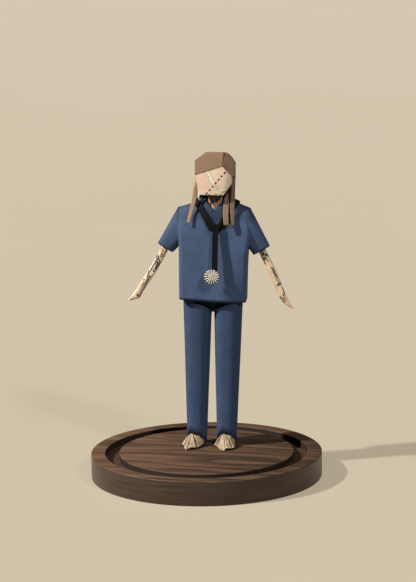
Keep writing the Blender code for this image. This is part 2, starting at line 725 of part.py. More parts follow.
def make_hair():
    """Three folded pieces of kraft paper: a fringe, a side piece that meets it at the parting, and the back."""
    seam = Vector((0.0, HAIR_SEAM_Y, 0.0))
    back = Vector((0.0, 1.0, 0.0))
    lean = Vector((1.0, 0.0, -0.08)).normalized()
    fringe = head_block(HAIR_GROW)
    slice_off(fringe, seam, back, close=False)
    slice_off(fringe, PARTING - lean * GAP / 2.0, lean, close=False)
    slice_off(fringe, PARTING, Vector((4.8, 0.0, -13.5)), close=False)
    side = head_block(HAIR_GROW)
    slice_off(side, seam, back, close=False)
    slice_off(side, PARTING + lean * GAP / 2.0, -lean, close=False)
    slice_off(side, PARTING, Vector((-5.8, 0.0, -4.95)), close=False)
    rear = head_block(HAIR_GROW)
    slice_off(rear, seam + back * GAP, -back, close=False)
    slice_off(rear, Vector((0.0, 0.0, HAIR_BACK_FOLD_Z)), Vector((0.0, 0.0, -1.0)), close=False)
    hang_back_hair(rear)
    for name, bm in (("hair_fringe", fringe), ("hair_side", side), ("hair_back", rear)):
        part = add_part(name, bm, KRAFT_PAPER, HEAD, HEAD_PIVOT)
        thicken(part, HAIR_PAPER, 1.0)


def hang_back_hair(bm):
    """Carry the lower edge of the back hair down behind the shoulders."""
    low = HAIR_BACK_FOLD_Z + 0.001 * MM
    hem = []
    for edge in bm.edges:
        at_hem = all(vert.co.z < low for vert in edge.verts)
        if at_hem and max(vert.co.y for vert in edge.verts) > 6.0 * MM:
            hem.append(edge)
    grown = bmesh.ops.extrude_edge_only(bm, edges=hem)["geom"]
    for vert in (item for item in grown if isinstance(item, bmesh.types.BMVert)):
        vert.co.z = HAIR_BACK_END_Z
        vert.co.y = max(vert.co.y, HEAD_BACK_Y + HAIR_GROW - 1.0 * MM) + HAIR_BACK_FLARE


def through(points, count):
    """Points along a smooth curve through the given ones."""
    path = []
    last = len(points) - 1
    for step in range(count):
        place = last * step / (count - 1)
        index = min(int(place), last - 1)
        share = place - index
        a = points[max(index - 1, 0)]
        b = points[index]
        c = points[index + 1]
        d = points[min(index + 2, last)]
        path.append(
            0.5 * (2.0 * b + (c - a) * share + (2.0 * a - 5.0 * b + 4.0 * c - d) * share ** 2
                   + (3.0 * b - a - 3.0 * c + d) * share ** 3)
        )
    return path


def make_strand(name, route, first_width, last_width):
    """A cut strip of kraft paper that hangs from under the hair and turns as it comes forward."""
    knots = [Vector(point) * MM for point in route]
    first = Vector((*first_width, 0.0)) * MM
    last = Vector((*last_width, 0.0)) * MM
    path = through(knots, STRAND_STATIONS)
    stations = []
    for index, point in enumerate(path):
        turned = (index / (STRAND_STATIONS - 1)) ** 2
        half = first.lerp(last, turned) / 2.0
        stations.append((point, half))
    strand = add_part(name, ribbon(stations), KRAFT_PAPER, HEAD, knots[0])
    strand.location = knots[0] - HEAD_PIVOT
    thicken(strand, STRIP_PAPER, 0.0)
    smooth(strand)


def on_front(x, z):
    return Vector((x * MM, front_surface(x * MM, z * MM) - STRAP_LIFT, z * MM))


def make_strap():
    """A black paper strip worn round the neck, its two ends brought together on the chest."""
    right_front = [on_front(0.5, 115.8), on_front(-2.6, 121.6), on_front(-5.9, 127.0)]
    left_front = [on_front(9.6, 127.0), on_front(6.3, 121.6), on_front(3.2, 115.8)]
    over = [
        Vector((-7.6, -1.0, 130.7)) * MM,
        Vector((-4.4, 3.9, 131.5)) * MM,
        Vector((2.0, 5.3, 131.7)) * MM,
        Vector((8.0, 3.6, 131.2)) * MM,
        Vector((11.3, -1.0, 130.4)) * MM,
    ]
    outward = [
        (-0.1, -1.0, 0.1), (-0.1, -1.0, 0.2), (-0.2, -1.0, 0.5),
        (-0.34, -0.4, 1.0), (-0.5, 0.8, 0.8), (0.0, 1.0, 0.6), (0.5, 0.8, 0.8), (0.34, -0.4, 1.0),
        (0.2, -1.0, 0.5), (0.1, -1.0, 0.2), (0.1, -1.0, 0.1),
    ]
    path = through(right_front + over + left_front, STRAP_STATIONS)
    facing = through([Vector(direction).normalized() for direction in outward], STRAP_STATIONS)
    stations = []
    for index, point in enumerate(path):
        along = path[min(index + 1, len(path) - 1)] - path[max(index - 1, 0)]
        across = along.cross(facing[index]).normalized()
        stations.append((point, across * STRAP_WIDTH / 2.0))
    bm = ribbon(stations)
    strap = add_part("neck_strap", bm, BLACK_PAPER, FRAME)
    thicken(strap, STRIP_PAPER, 0.0)
    smooth(strap)


def make_tail():
    """The hanging end of the strip, hinged where it is folded over the joined ends."""
    half = Vector((STRAP_WIDTH / 2.0, 0.0, 0.0))
    front = front_surface(TAIL_X, TAIL_TOP_Z) - TAIL_LIFT
    keeper = []
    for z in spaced(KEEPER_TOP_Z, TAIL_TOP_Z + GAP, 3):
        keeper.append((Vector((TAIL_X, front, z)), half * 1.05))
    part = add_part("strap_keeper", ribbon(keeper), BLACK_PAPER, FRAME)
    thicken(part, STRIP_PAPER, 0.0)
    stations = []
    for share in spaced(0.0, 1.0, 6):
        z = TAIL_TOP_Z + (TAIL_BOTTOM_Z - TAIL_TOP_Z) * share
        x = TAIL_X + (ROSETTE_CENTRE.x - TAIL_X) * 0.25 * share
        stations.append((Vector((x, front, z)), half))
    tail = add_part("strap_tail", ribbon(stations), BLACK_PAPER, TAIL, TAIL_PIVOT)
    thicken(tail, STRIP_PAPER, 0.0)
    backing_y = front - STRIP_PAPER / 2.0 - GAP - CARD / 2.0
    make_backing(backing_y)
    make_rosette(backing_y - CARD / 2.0 - GAP)


def make_backing(y):
    bm = bmesh.new()
    radius = 0.55 * ROSETTE_RADIUS
    bmesh.ops.create_cone(bm, cap_ends=True, segments=20, radius1=radius, radius2=radius, depth=CARD)
    bm.transform(Matrix.Translation((ROSETTE_CENTRE.x, y, ROSETTE_CENTRE.z)) @ Matrix.Rotation(math.pi / 2.0, 4, "X"))
    add_part("rosette_backing", bm, CARD_STOCK, TAIL, TAIL_PIVOT)


def make_rosette(back_y):
    """A strip of paper pleated into a ring: ridges and valleys run out from a pressed centre."""
    bm = bmesh.new()
    points = 4 * ROSETTE_PLEATS
    hub = 0.36 * ROSETTE_RADIUS
    made = bmesh.ops.create_circle(bm, cap_ends=True, segments=points, radius=ROSETTE_RADIUS)
    rim = set(made["verts"])
    inner = bmesh.ops.inset_region(bm, faces=bm.faces[:], thickness=ROSETTE_RADIUS - hub)
    for vert in rim:
        angle = math.atan2(vert.co.y, vert.co.x)
        wave = math.cos(ROSETTE_PLEATS * angle)
        reach = 1.0 + 0.05 * (wave - 1.0)
        vert.co = (vert.co.x * reach, vert.co.y * reach, 0.55 * MM * wave)
    for vert in bm.verts:
        if vert not in rim:
            vert.co.z = 0.35 * MM
    bm.transform(Matrix.Rotation(math.pi / 2.0, 4, "X"))
    place = Vector((ROSETTE_CENTRE.x, back_y - 0.75 * MM, ROSETTE_CENTRE.z))
    bmesh.ops.translate(bm, vec=place, verts=bm.verts)
    bmesh.ops.recalc_face_normals(bm, faces=bm.faces)
    rosette = add_part("rosette", bm, ROSETTE_PAPER, TAIL, TAIL_PIVOT)
    thicken(rosette, STRIP_PAPER, 0.0)


clear_scene()
FIGURE = new_collection("origami_figure")
CUTTERS = new_collection("cutters")

WALNUT = finish("walnut", (0.122, 0.070, 0.044), 0.55)
BLUE_PAPER = finish("blue_paper", (0.060, 0.085, 0.150), 0.80)
MAP_PAPER = finish("map_paper", (0.720, 0.520, 0.350), 0.75)
KRAFT_PAPER = finish("kraft_paper", (0.323, 0.198, 0.114), 0.78)
BLACK_PAPER = finish("black_paper", (0.012, 0.011, 0.010), 0.70)
ROSETTE_PAPER = finish("rosette_paper", (0.560, 0.480, 0.340), 0.70)
CARD_STOCK = finish("card_stock", (0.620, 0.560, 0.460), 0.85)
STEEL = finish("steel_wire", (0.550, 0.550, 0.560), 0.35, 1.0)

FIGURE_PLACE = Vector((FIGURE_X, FIGURE_Y, BASE_HEIGHT))
FRAME = add_empty("figure_frame", FIGURE_PLACE)
FRAME.rotation_euler = (0.0, FIGURE_LEAN, 0.0)
HEAD_PIVOT = Vector((NECK_X, 0.2 * MM, CHIN_Z))
HEAD = add_empty("head_turn", HEAD_PIVOT, FRAME)
TAIL_PIVOT = Vector((TAIL_X, front_surface(TAIL_X, TAIL_TOP_Z) - TAIL_LIFT, TAIL_TOP_Z))
TAIL = add_empty("tail_swing", TAIL_PIVOT, FRAME)
TAIL.rotation_euler = (-TAIL_TILT, 0.0, 0.0)

walnut_base = make_base()
for prefix, side, toe_turn in (("right", -1.0, math.radians(-13.0)), ("left", 1.0, 0.0)):
    rod_hole = make_leg_rod(prefix + "_leg_rod", side, walnut_base)
    make_foot(prefix + "_foot", side, toe_turn, rod_hole)
    make_leg(prefix + "_trouser_leg", side)
make_seat()
make_gusset()

pin_foot = Vector((NECK_X, 0.2 * MM, CORE_TOP_Z - 2.5 * MM))
pin_head = Vector((NECK_X, 0.2 * MM, CHIN_Z + 9.0 * MM))
pin_hole = add_cutter("neck_pin_hole", pin_foot, pin_head + Vector((0.0, 0.0, GAP)), ROD_RADIUS + GAP, FRAME)
make_core(pin_hole)
make_tunic_panel("tunic_front", True)
make_tunic_panel("tunic_back", False)
make_collar("right_collar", -1.0)
make_collar("left_collar", 1.0)

# Each arm runs from inside its cuff down, out and a little forward to the fingertips: centre, half width and half
# depth at each station.
right_arm_knots = [
    (Vector((23.4, -2.2, 108.0)) * MM, 2.1 * MM, 1.5 * MM),
    (Vector((31.3, -4.4, 92.7)) * MM, 2.2 * MM, 1.5 * MM),
    (Vector((37.3, -5.6, 82.6)) * MM, 1.75 * MM, 1.4 * MM),
    (Vector((39.2, -6.0, 79.9)) * MM, 1.7 * MM, 1.3 * MM),
    (Vector((41.5, -6.3, 78.2)) * MM, 1.2 * MM, 1.0 * MM),
    (Vector((43.7, -6.6, 76.9)) * MM, 0.35 * MM, 0.6 * MM),
]
left_arm_knots = [
    (Vector((23.5, -2.2, 108.3)) * MM, 1.9 * MM, 1.5 * MM),
    (Vector((30.6, -4.0, 95.4)) * MM, 2.0 * MM, 1.5 * MM),
    (Vector((35.6, -5.3, 84.6)) * MM, 1.85 * MM, 1.4 * MM),
    (Vector((37.7, -5.8, 80.1)) * MM, 1.85 * MM, 1.3 * MM),
    (Vector((40.0, -6.3, 77.8)) * MM, 1.0 * MM, 1.0 * MM),
    (Vector((42.0, -6.6, 75.8)) * MM, 0.3 * MM, 0.6 * MM),
]
for prefix, side, knots in (("right", -1.0, right_arm_knots), ("left", 1.0, left_arm_knots)):
    pivot = mirrored(SHOULDER_PIVOT, side)
    make_sleeve(prefix + "_sleeve", side, FRAME, pivot)
    make_arm(prefix + "_arm", side, knots, FRAME, pivot)

make_neck(pin_foot, pin_head)
make_head(pin_hole)
make_hair()

# Routes of the hanging strips in millimetres, and how wide each is seen across and along at its top and its end.
right_route = [(-8.75, -5.5, 143.7), (-8.6, -7.2, 136.8), (-10.6, -8.8, 127.8), (-12.35, -10.3, 119.2)]
inner_route = [(9.4, 0.9, 145.5), (9.4, 0.7, 140.4), (9.1, -3.6, 134.0), (8.1, -8.9, 126.5), (7.9, -11.0, 119.1)]
outer_route = [(10.15, -2.6, 142.0), (10.6, -4.4, 136.0), (11.15, -8.6, 126.9), (11.05, -10.7, 118.6)]
make_strand("right_strand", right_route, (0.1, 2.2), (1.6, 1.0))
make_strand("left_inner_strand", inner_route, (0.05, 1.4), (2.8, 0.5))
make_strand("left_outer_strand", outer_route, (0.1, 2.0), (1.7, 0.9))
make_strap()
make_tail()
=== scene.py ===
# %% [markdown]
# # A folded paper figure on a turned walnut base
# The object is a small standing figure folded from blue, brown and map-printed paper. It wears a black paper
# strip round its neck with a pleated rosette, and stands on a wooden disc with a groove for a glass dome.
# The measured solids come in as a fixed frame, and this lesson dresses them with thin paper and turned wood.

# %% Load the frame
import math

import bmesh
import bpy
from mathutils import Matrix, Vector, noise


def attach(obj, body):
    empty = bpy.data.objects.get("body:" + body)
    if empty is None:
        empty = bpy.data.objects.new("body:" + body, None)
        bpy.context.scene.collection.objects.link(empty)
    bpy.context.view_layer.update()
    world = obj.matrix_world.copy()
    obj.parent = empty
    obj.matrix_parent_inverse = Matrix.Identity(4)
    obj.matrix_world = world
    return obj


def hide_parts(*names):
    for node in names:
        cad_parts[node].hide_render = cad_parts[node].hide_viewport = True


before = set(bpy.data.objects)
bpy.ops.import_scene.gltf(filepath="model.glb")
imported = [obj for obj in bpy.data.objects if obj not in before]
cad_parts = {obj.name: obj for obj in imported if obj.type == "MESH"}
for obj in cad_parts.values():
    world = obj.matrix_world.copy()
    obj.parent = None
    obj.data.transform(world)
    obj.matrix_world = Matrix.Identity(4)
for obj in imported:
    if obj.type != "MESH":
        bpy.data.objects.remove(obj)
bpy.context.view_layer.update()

# %% [markdown]
# ## Units and the figure's own frame
# Every size is written in millimetres, as a maker would note it. The figure stands a little behind the
# middle of the base and leans by about one degree, so its pieces are drawn upright in their own frame and
# one matrix carries them into place. The place goes into the mesh, and every object stays at the origin.

# %% Figure frame
MM = 0.001
BASE_HEIGHT = 12.8
FOOT = Vector((1.05, 14, BASE_HEIGHT)) * MM
LEAN = math.radians(1.35)
UPRIGHT = Matrix.Translation(FOOT)
STAND = UPRIGHT @ Matrix.Rotation(LEAN, 4, "Y")
X_AXIS, Y_AXIS, Z_AXIS = (Vector(row) for row in Matrix.Identity(3))
SIDES = ((-1, "right"), (1, "left"))
PAPER = 0.4


def mm(x, y, z):
    return Vector((x, y, z)) * MM


def spaced(start, end, count):
    return [start + (end - start) * step / (count - 1) for step in range(count)]


def with_neighbours(items):
    """Each item between the one before and the one after it; both ends stand in for what they lack."""
    return zip(items[:1] + items, items, items[1:] + items[-1:])


def clamp01(value):
    return min(1, max(0, value))


def lerp(pair, share):
    return pair[0] + (pair[1] - pair[0]) * share


print("figure foot at", [round(value, 4) for value in FOOT])

# %% [markdown]
# ## Camera
# A long lens looks slightly down and a little from the figure's left, as in the photograph. The picture
# is 416 by 582 pixels, so the lens is set on the sensor's height, and the last turn is the small roll of
# the view.

# %% Camera
PICTURE_HEIGHT = 582
FOCAL_PIXELS = 2723.761
SENSOR = 36
VIEW_AZIMUTH = math.radians(8)
VIEW_ELEVATION = math.radians(11.688)
VIEW_ROLL = math.radians(-0.897)
VIEW_DISTANCE = 1.4
VIEW_TARGET = mm(2.054, 0.289, 97.634)

level = Vector((math.cos(VIEW_AZIMUTH), math.sin(VIEW_AZIMUTH), 0))
depth = Vector((-math.sin(VIEW_AZIMUTH), math.cos(VIEW_AZIMUTH), 0))
ahead = depth * math.cos(VIEW_ELEVATION) - Vector((0, 0, math.sin(VIEW_ELEVATION)))
above = level.cross(ahead)
right = level * math.cos(VIEW_ROLL) + above * math.sin(VIEW_ROLL)
up = above * math.cos(VIEW_ROLL) - level * math.sin(VIEW_ROLL)
camera_data = bpy.data.cameras.new("photo_view")
camera_data.sensor_fit = "VERTICAL"
camera_data.sensor_height = SENSOR
camera_data.lens = SENSOR * FOCAL_PIXELS / PICTURE_HEIGHT
camera_data.clip_end = 50
camera = bpy.data.objects.new("photo_view", camera_data)
turn = Matrix((right, up, -ahead)).transposed().to_4x4()
camera.matrix_world = Matrix.Translation(VIEW_TARGET - ahead * VIEW_DISTANCE) @ turn
bpy.context.scene.collection.objects.link(camera)
bpy.context.scene.camera = camera
bpy.context.scene.view_settings.view_transform = "Standard"
print("lens", round(camera_data.lens, 1), "mm")

# %% [markdown]
# ## Light
# Two shadows on the floor tell where the lamps stood: a crisp one runs to the right, a soft one to the
# back left. So a small lamp stands far to the left, a weaker and softer one at the front right, and a
# broad one overhead fills the floor. Sun lamps keep the floor even to the edge of the picture. A strength
# of pi lights a white surface that faces the lamp to exactly white, so each lamp's share is written as a
# part of that.

# %% Lamps
LAMPS = (
    ("left_key", (-0.679, -0.302, 0.669), 2.05, 2.5, (0.98, 1, 1.04)),
    ("right_fill", (0.507, -0.604, 0.616), 0.5, 6, (0.94, 1, 1.1)),
    ("overhead", (-0.2, 0.25, 0.95), 0.12, 70, (1.04, 1, 0.93)),
)
for name, towards, share, width, tint in LAMPS:
    lamp = bpy.data.lights.new(name, "SUN")
    lamp.energy = math.pi * share
    lamp.angle = math.radians(width)
    lamp.color = tint
    holder = bpy.data.objects.new(name, lamp)
    holder.rotation_euler = Vector(towards).to_track_quat("Z", "Y").to_euler()
    bpy.context.scene.collection.objects.link(holder)
    print(name, "gives", share)

# %% [markdown]
# ## Shader sums
# A finish is easier to read as arithmetic than as a web of nodes. This class wraps a socket: adding or
# multiplying two of them places a Math node, and one method places any other node.


# %% Shader sums
def math_node(operation, reflected=False):
    """A method that places one Math node; a reflected one takes the wrapped socket last, as in 1 - mask."""

    def place(flow, *others):
        terms = (*others, flow) if reflected else (flow, *others)
        return flow.add("ShaderNodeMath", dict(enumerate(terms)), operation=operation)

    return place


class Flow:
    def __init__(self, tree, socket=None):
        self.tree = tree
        self.socket = socket

    def feed(self, node, inputs):
        for key, value in inputs.items():
            if isinstance(value, Flow):
                self.tree.links.new(value.socket, node.inputs[key])
            else:
                node.inputs[key].default_value = value

    def add(self, kind, inputs, output=0, **settings):
        node = self.tree.nodes.new(kind)
        for name, value in settings.items():
            setattr(node, name, value)
        self.feed(node, inputs)
        return Flow(self.tree, node.outputs[output])

    __add__ = __radd__ = math_node("ADD")
    __mul__ = __rmul__ = math_node("MULTIPLY")
    __sub__ = math_node("SUBTRACT")
    __rsub__ = math_node("SUBTRACT", reflected=True)
    __truediv__ = math_node("DIVIDE")
    __rtruediv__ = math_node("DIVIDE", reflected=True)
    size = math_node("ABSOLUTE")
    wrap = math_node("FRACT")
    root = math_node("SQRT")
    angle = math_node("ARCTAN2")
    larger = math_node("MAXIMUM")

    def rise(self, low, high):
        """0 below low, 1 above high, and a soft step between; swapped limits make a fall."""
        return self.add("ShaderNodeMapRange", {0: self, 1: low, 2: high}, interpolation_type="SMOOTHSTEP")

    def tint(self, dark, light):
        """A colour from dark at 0 to light at 1; either may be another Flow."""
        ends = [colour if isinstance(colour, Flow) else (*colour, 1) for colour in (dark, light)]
        return self.add("ShaderNodeMix", {0: self, 6: ends[0], 7: ends[1]}, 2, data_type="RGBA")

    def printed(self, *layers):
        """This colour under layers of a share and another colour, laid over it in turn."""
        colour = self
        for share, ink in layers:
            colour = share.tint(colour, ink)
        return colour

    def ramp(self, *stops):
        flow = self.add("ShaderNodeValToRGB", {0: self})
        elements = flow.socket.node.color_ramp.elements
        while len(elements) < len(stops):
            elements.new(1)
        for stop, (place, colour) in zip(elements, stops):
            stop.position = place
            stop.color = (*colour, 1)
        return flow

    def stretch(self, scale, shift=(0, 0, 0), turn=(0, 0, 0)):
        inputs = {"Vector": self, "Location": shift, "Rotation": turn, "Scale": scale}
        return self.add("ShaderNodeMapping", inputs)

    def part(self, axis):
        return self.add("ShaderNodeSeparateXYZ", {0: self}, axis)

    def along(self, direction):
        return self.add("ShaderNodeVectorMath", {0: self, 1: direction}, 1, operation="DOT_PRODUCT")

    def cloud(self, scale, detail=2, roughness=0.5):
        inputs = {"Vector": self, "Scale": scale, "Detail": detail, "Roughness": roughness}
        return self.add("ShaderNodeTexNoise", inputs)

    def swirl(self, amount, scale):
        """The same coordinates, pushed about by a soft cloud."""
        cloud = self.add("ShaderNodeTexNoise", {"Vector": self, "Scale": scale, "Detail": 1}, 1)
        pushed = {0: cloud, 1: (amount,) * 3, 2: self}
        return self.add("ShaderNodeVectorMath", pushed, operation="MULTIPLY_ADD")

    def cells(self, feature, scale):
        return self.add("ShaderNodeTexVoronoi", {"Vector": self, "Scale": scale}, "Distance", feature=feature)

    def painted(self, layer):
        """A value that the mesh carries in a layer of its own."""
        return self.add("ShaderNodeAttribute", {}, "Fac", attribute_name=layer)

    def relief(self, strength, reach):
        """A bump whose height is this flow in parts of reach millimetres."""
        return self.add("ShaderNodeBump", {"Strength": strength, "Distance": reach * MM, "Height": self})


print("shader sums ready")


# %% Finishes
def make_finish(name, draw):
    """A new material; draw takes surface coordinates in millimetres and returns the shader's inputs."""
    material = bpy.data.materials.new(name)
    material.use_nodes = True
    spot = Flow(material.node_tree).add("ShaderNodeTexCoord", {}, "Object").stretch((1 / MM,) * 3)
    spot.feed(material.node_tree.nodes["Principled BSDF"], draw(spot))
    return material


print("finishes can be made")

# %% [markdown]
# ## Placing a piece
# Each piece is drawn in a bmesh, carried into place, and given to the body that it moves with. Thin paper
# gets its thickness from a Solidify modifier, and a small Bevel keeps the folds from looking razor sharp.


# %% Placing helpers
def add_object(name, bm, finish):
    mesh = bpy.data.meshes.new(name)
    bm.to_mesh(mesh)
    bm.free()
    mesh.materials.append(finish)
    made = bpy.data.objects.new(name, mesh)
    bpy.context.scene.collection.objects.link(made)
    return made


def thicken(piece, thickness, offset, even=False):
    wall = piece.modifiers.new("paper", "SOLIDIFY")
    wall.thickness = thickness * MM
    wall.offset = offset
    wall.use_even_offset = even


def soften(piece, width, angle=30):
    fold = piece.modifiers.new("soft_folds", "BEVEL")
    fold.width = width * MM
    fold.segments = 2
    fold.limit_method = "ANGLE"
    fold.angle_limit = math.radians(angle)


def show(name, bm, finish, body, nodes, wall=(PAPER, -1), soft=None, smooth=None, place=STAND):
    """Place a piece; wall is its paper's thickness, the side it lies on, and whether it is even at folds."""
    bm.transform(place)
    piece = add_object(name, bm, finish)
    if smooth is not None:
        piece.data.shade_smooth()
        piece.data.set_sharp_from_angle(angle=math.radians(smooth))
    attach(piece, body)
    if nodes:
        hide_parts(*nodes)
    if wall:
        thicken(piece, *wall)
    if soft:
        soften(piece, *soft)
    print(name, "has", len(piece.data.polygons), "faces on", body)


print("placing helpers ready")


# %% Folding helpers
def cut(bm, point, normal, clear=True, close=False):
    """Cut along a plane, clear the side that the normal points to, and close the hole if asked."""
    geometry = bm.verts[:] + bm.edges[:] + bm.faces[:]
    made = bmesh.ops.bisect_plane(
        bm, geom=geometry, dist=1e-7, plane_co=point, plane_no=normal, clear_outer=clear)
    if close:
        rim = [item for item in made["geom_cut"] if isinstance(item, bmesh.types.BMEdge)]
        bmesh.ops.holes_fill(bm, edges=rim, sides=0)


def drop_faces(bm, test):
    """Remove the faces whose middle, in millimetres, passes a test."""
    gone = [face for face in bm.faces if test(face.calc_center_median() / MM)]
    bmesh.ops.delete(bm, geom=gone, context="FACES")


def extruded(bm, edges):
    """Extrude edges on the spot and return the new vertices."""
    grown = bmesh.ops.extrude_edge_only(bm, edges=edges)["geom"]
    return [item for item in grown if isinstance(item, bmesh.types.BMVert)]


def fresh_normals(bm):
    bmesh.ops.recalc_face_normals(bm, faces=bm.faces)


def face_away(bm, centre):
    """Turn a sheet's faces so that they look away from a point inside."""
    fresh_normals(bm)
    vote = sum(face.normal.dot(face.calc_center_median() - centre) for face in bm.faces)
    if vote < 0:
        bmesh.ops.reverse_faces(bm, faces=bm.faces)


def flutter(point, scale, seed):
    """Smooth repeatable unevenness between -1 and 1 for hand-folded paper."""
    return noise.noise(point * (scale / MM) + Vector((seed, seed * 1.7, seed * 2.3)))


print("folding helpers ready")

# %% [markdown]
# ## Floor
# A sheet of pale beige paper runs from under the base to beyond the picture. It is lit from all round, so
# its shadows are weak: part of its colour is a soft glow, a little stronger far away. The camera sees
# that colour, while light that bounces back on to the figure sees a darker sheet, which keeps the shadow
# sides deep.

# %% Floor
FLOOR_HALF = 9
BOUNCE = (0.1, 0.09, 0.075, 1)
ROOM = {"Color": (1, 0.97, 0.92, 1), "Strength": 0.025}


def floor_finish(spot):
    mottle = spot.cloud(0.004, 3)
    near = mottle.tint((0.353, 0.296, 0.208), (0.367, 0.31, 0.221))
    return {
        "Base Color": mottle.tint((0.15, 0.127, 0.092), (0.16, 0.135, 0.1)), "Roughness": 0.9,
        "Emission Color": spot.part(1).rise(200, 2400).tint(near, (0.394, 0.335, 0.246)),
        "Emission Strength": 1, "Specular IOR Level": 0.1,
    }


def make_floor():
    material = make_finish("beige_floor", floor_finish)
    tree = material.node_tree
    lit = Flow(tree, tree.nodes["Principled BSDF"].outputs[0])
    dim = lit.add("ShaderNodeBsdfDiffuse", {"Color": BOUNCE})
    camera_ray, glossy, through = (
        lit.add("ShaderNodeLightPath", {}, "Is " + ray + " Ray")
        for ray in ("Camera", "Glossy", "Transmission"))
    seen = camera_ray.larger(glossy.larger(through))
    mixed = lit.add("ShaderNodeMixShader", {0: seen, 1: dim, 2: lit})
    mixed.feed(tree.nodes["Material Output"], {"Surface": mixed})
    bm = bmesh.new()
    bmesh.ops.create_grid(bm, x_segments=2, y_segments=2, size=FLOOR_HALF)
    sheet = add_object("floor_sheet", bm, material)


make_floor()
world = bpy.data.worlds.new("room")
world.use_nodes = True
Flow(world.node_tree).feed(world.node_tree.nodes["Background"], ROOM)
bpy.context.scene.world = world
print("floor laid")

# %% [markdown]
# ## Walnut
# The base is turned from a walnut board with its grain running left to right, so growth rings show as
# long lines on top. Rings are distances from a far log axis, pushed about by noise, with fine pores
# stretched along the grain. The outer side shows fine level lines all the way round, drawn by the angle
# round the axis and the height, and was waxed on the lathe, so it shines at a flat angle. The groove is
# painted darker and redder, and its walls nearly black: painted shade in the recess.

# %% Walnut finish
GROOVE_INNER = 45.4
GROOVE_OUTER = 52.6
GROOVE_DEPTH = 4
BASE_RADIUS = 60
BOARD_TURN = (0, math.radians(1), math.radians(4))
SEAM_ACROSS = (0.765, 0.644, 0)
SEAM_TOWARDS = (0.644, -0.765, 0)


def walnut_finish(spot):
    x, y, z = (spot.part(axis) for axis in range(3))
    board = spot.stretch((1, 1, 1), turn=BOARD_TURN)
    flow = board.stretch((0.007, 0.045, 0.06)).cloud(1, 2)
    growth = (board.part(1) * 0.075 + board.part(2) * 0.1 + flow * 5.5).wrap()
    late = growth.rise(0.3, 0.92) * growth.rise(1, 0.94)
    pores = board.stretch((0.05, 2, 2)).cloud(1, 3, 0.65)
    streak = board.stretch((0.016, 0.42, 0.55)).cloud(1, 2, 0.5)
    tone = streak * 0.8 + pores * 0.4 - late * 0.28 + flow * 0.2 - x * 0.0028 - 0.11
    wood = tone.ramp(
        (0.14, (0.02, 0.0087, 0.0039)), (0.38, (0.05, 0.0237, 0.0111)),
        (0.56, (0.078, 0.0392, 0.0193)), (0.84, (0.124, 0.0665, 0.0345)),
    )
    radius = (x * x + y * y).root()
    outside = radius.rise(BASE_RADIUS - 0.8, BASE_RADIUS - 0.3) * z.rise(BASE_HEIGHT, BASE_HEIGHT - 0.6)
    layers = spot.add("ShaderNodeCombineXYZ", {0: x.angle(y * -1) * 2.2, 1: z * 0.85}).cloud(1, 3, 0.65)
    wood = outside.tint(wood, layers.ramp((0.34, (0.02, 0.0085, 0.004)), (0.68, (0.056, 0.026, 0.0132))))
    inside = radius.rise(GROOVE_INNER - 0.35, GROOVE_INNER - 0.05)
    inside = inside * radius.rise(GROOVE_OUTER + 0.35, GROOVE_OUTER + 0.05)
    # Painted shade: the groove below the top is darkened and reddened, and its walls nearly blackened.
    sunk_shade = inside * z.rise(BASE_HEIGHT - 0.1, BASE_HEIGHT - 0.7)
    groove_floor = BASE_HEIGHT - GROOVE_DEPTH
    wall = sunk_shade * z.rise(groove_floor + 0.2, groove_floor + 0.9)
    seam = spot.along(SEAM_ACROSS).size().rise(0.3, 0.05) * radius.rise(BASE_RADIUS - 1, BASE_RADIUS - 0.4)
    seam = seam * spot.along(SEAM_TOWARDS).rise(0, 1)
    return {
        "Base Color": wood.printed((sunk_shade * 0.75, (0.043, 0.016, 0.007)), (wall * 0.85, (0.01, 0.005, 0.003)),
                                   (seam * 0.55, (0.016, 0.009, 0.006))),
        "Roughness": 0.52 + pores * 0.2 + wall * 0.2 - outside * 0.1,
        "Normal": (pores * 0.7 + streak * 0.3).relief(0.2, 0.1),
        "Specular IOR Level": 0.25, "Coat Weight": outside * 0.54, "Coat Roughness": 0.34,
    }


WALNUT = make_finish("walnut_satin", walnut_finish)
print("walnut ready")

# %% [markdown]
# ## Base
# A wood turner shapes the disc on a lathe, so the mesh is turned too: a half section is drawn as a chain
# of edges and spun round the axis. Small round corners catch the thin bright line along the front rim.


# %% Base
def rounded(corners, radii, steps=5):
    """Round the inner corners of a chain of (radius, height) points."""
    chain = [corners[0]]
    for before, corner, after, radius in zip(corners, corners[1:], corners[2:], radii):
        start = corner + (before - corner).normalized() * radius
        end = corner + (after - corner).normalized() * radius
        for share in spaced(0, 1, steps):
            chain.append(start.lerp(corner, share).lerp(corner.lerp(end, share), share))
    chain.append(corners[-1])
    return chain


def make_base():
    floor = BASE_HEIGHT - GROOVE_DEPTH
    corners = [(0, BASE_HEIGHT), (GROOVE_INNER, BASE_HEIGHT), (GROOVE_INNER, floor), (GROOVE_OUTER, floor),
               (GROOVE_OUTER, BASE_HEIGHT), (BASE_RADIUS, BASE_HEIGHT), (BASE_RADIUS, 0), (0, 0)]
    chain = rounded([Vector(corner) for corner in corners], (0.3, 0.4, 0.4, 0.3, 0.5, 0.8))
    bm = bmesh.new()
    verts = [bm.verts.new(mm(point.x, 0, point.y)) for point in chain]
    section = [bm.edges.new(pair) for pair in zip(verts, verts[1:])]
    bmesh.ops.spin(bm, geom=verts + section, cent=(0, 0, 0), axis=(0, 0, 1),
                   angle=2 * math.pi, steps=180, use_merge=True)
    bmesh.ops.remove_doubles(bm, verts=bm.verts, dist=1e-6)
    fresh_normals(bm)
    show("turned_base", bm, WALNUT, "figure", ["base"], None, smooth=30, place=Matrix.Identity(4))


make_base()
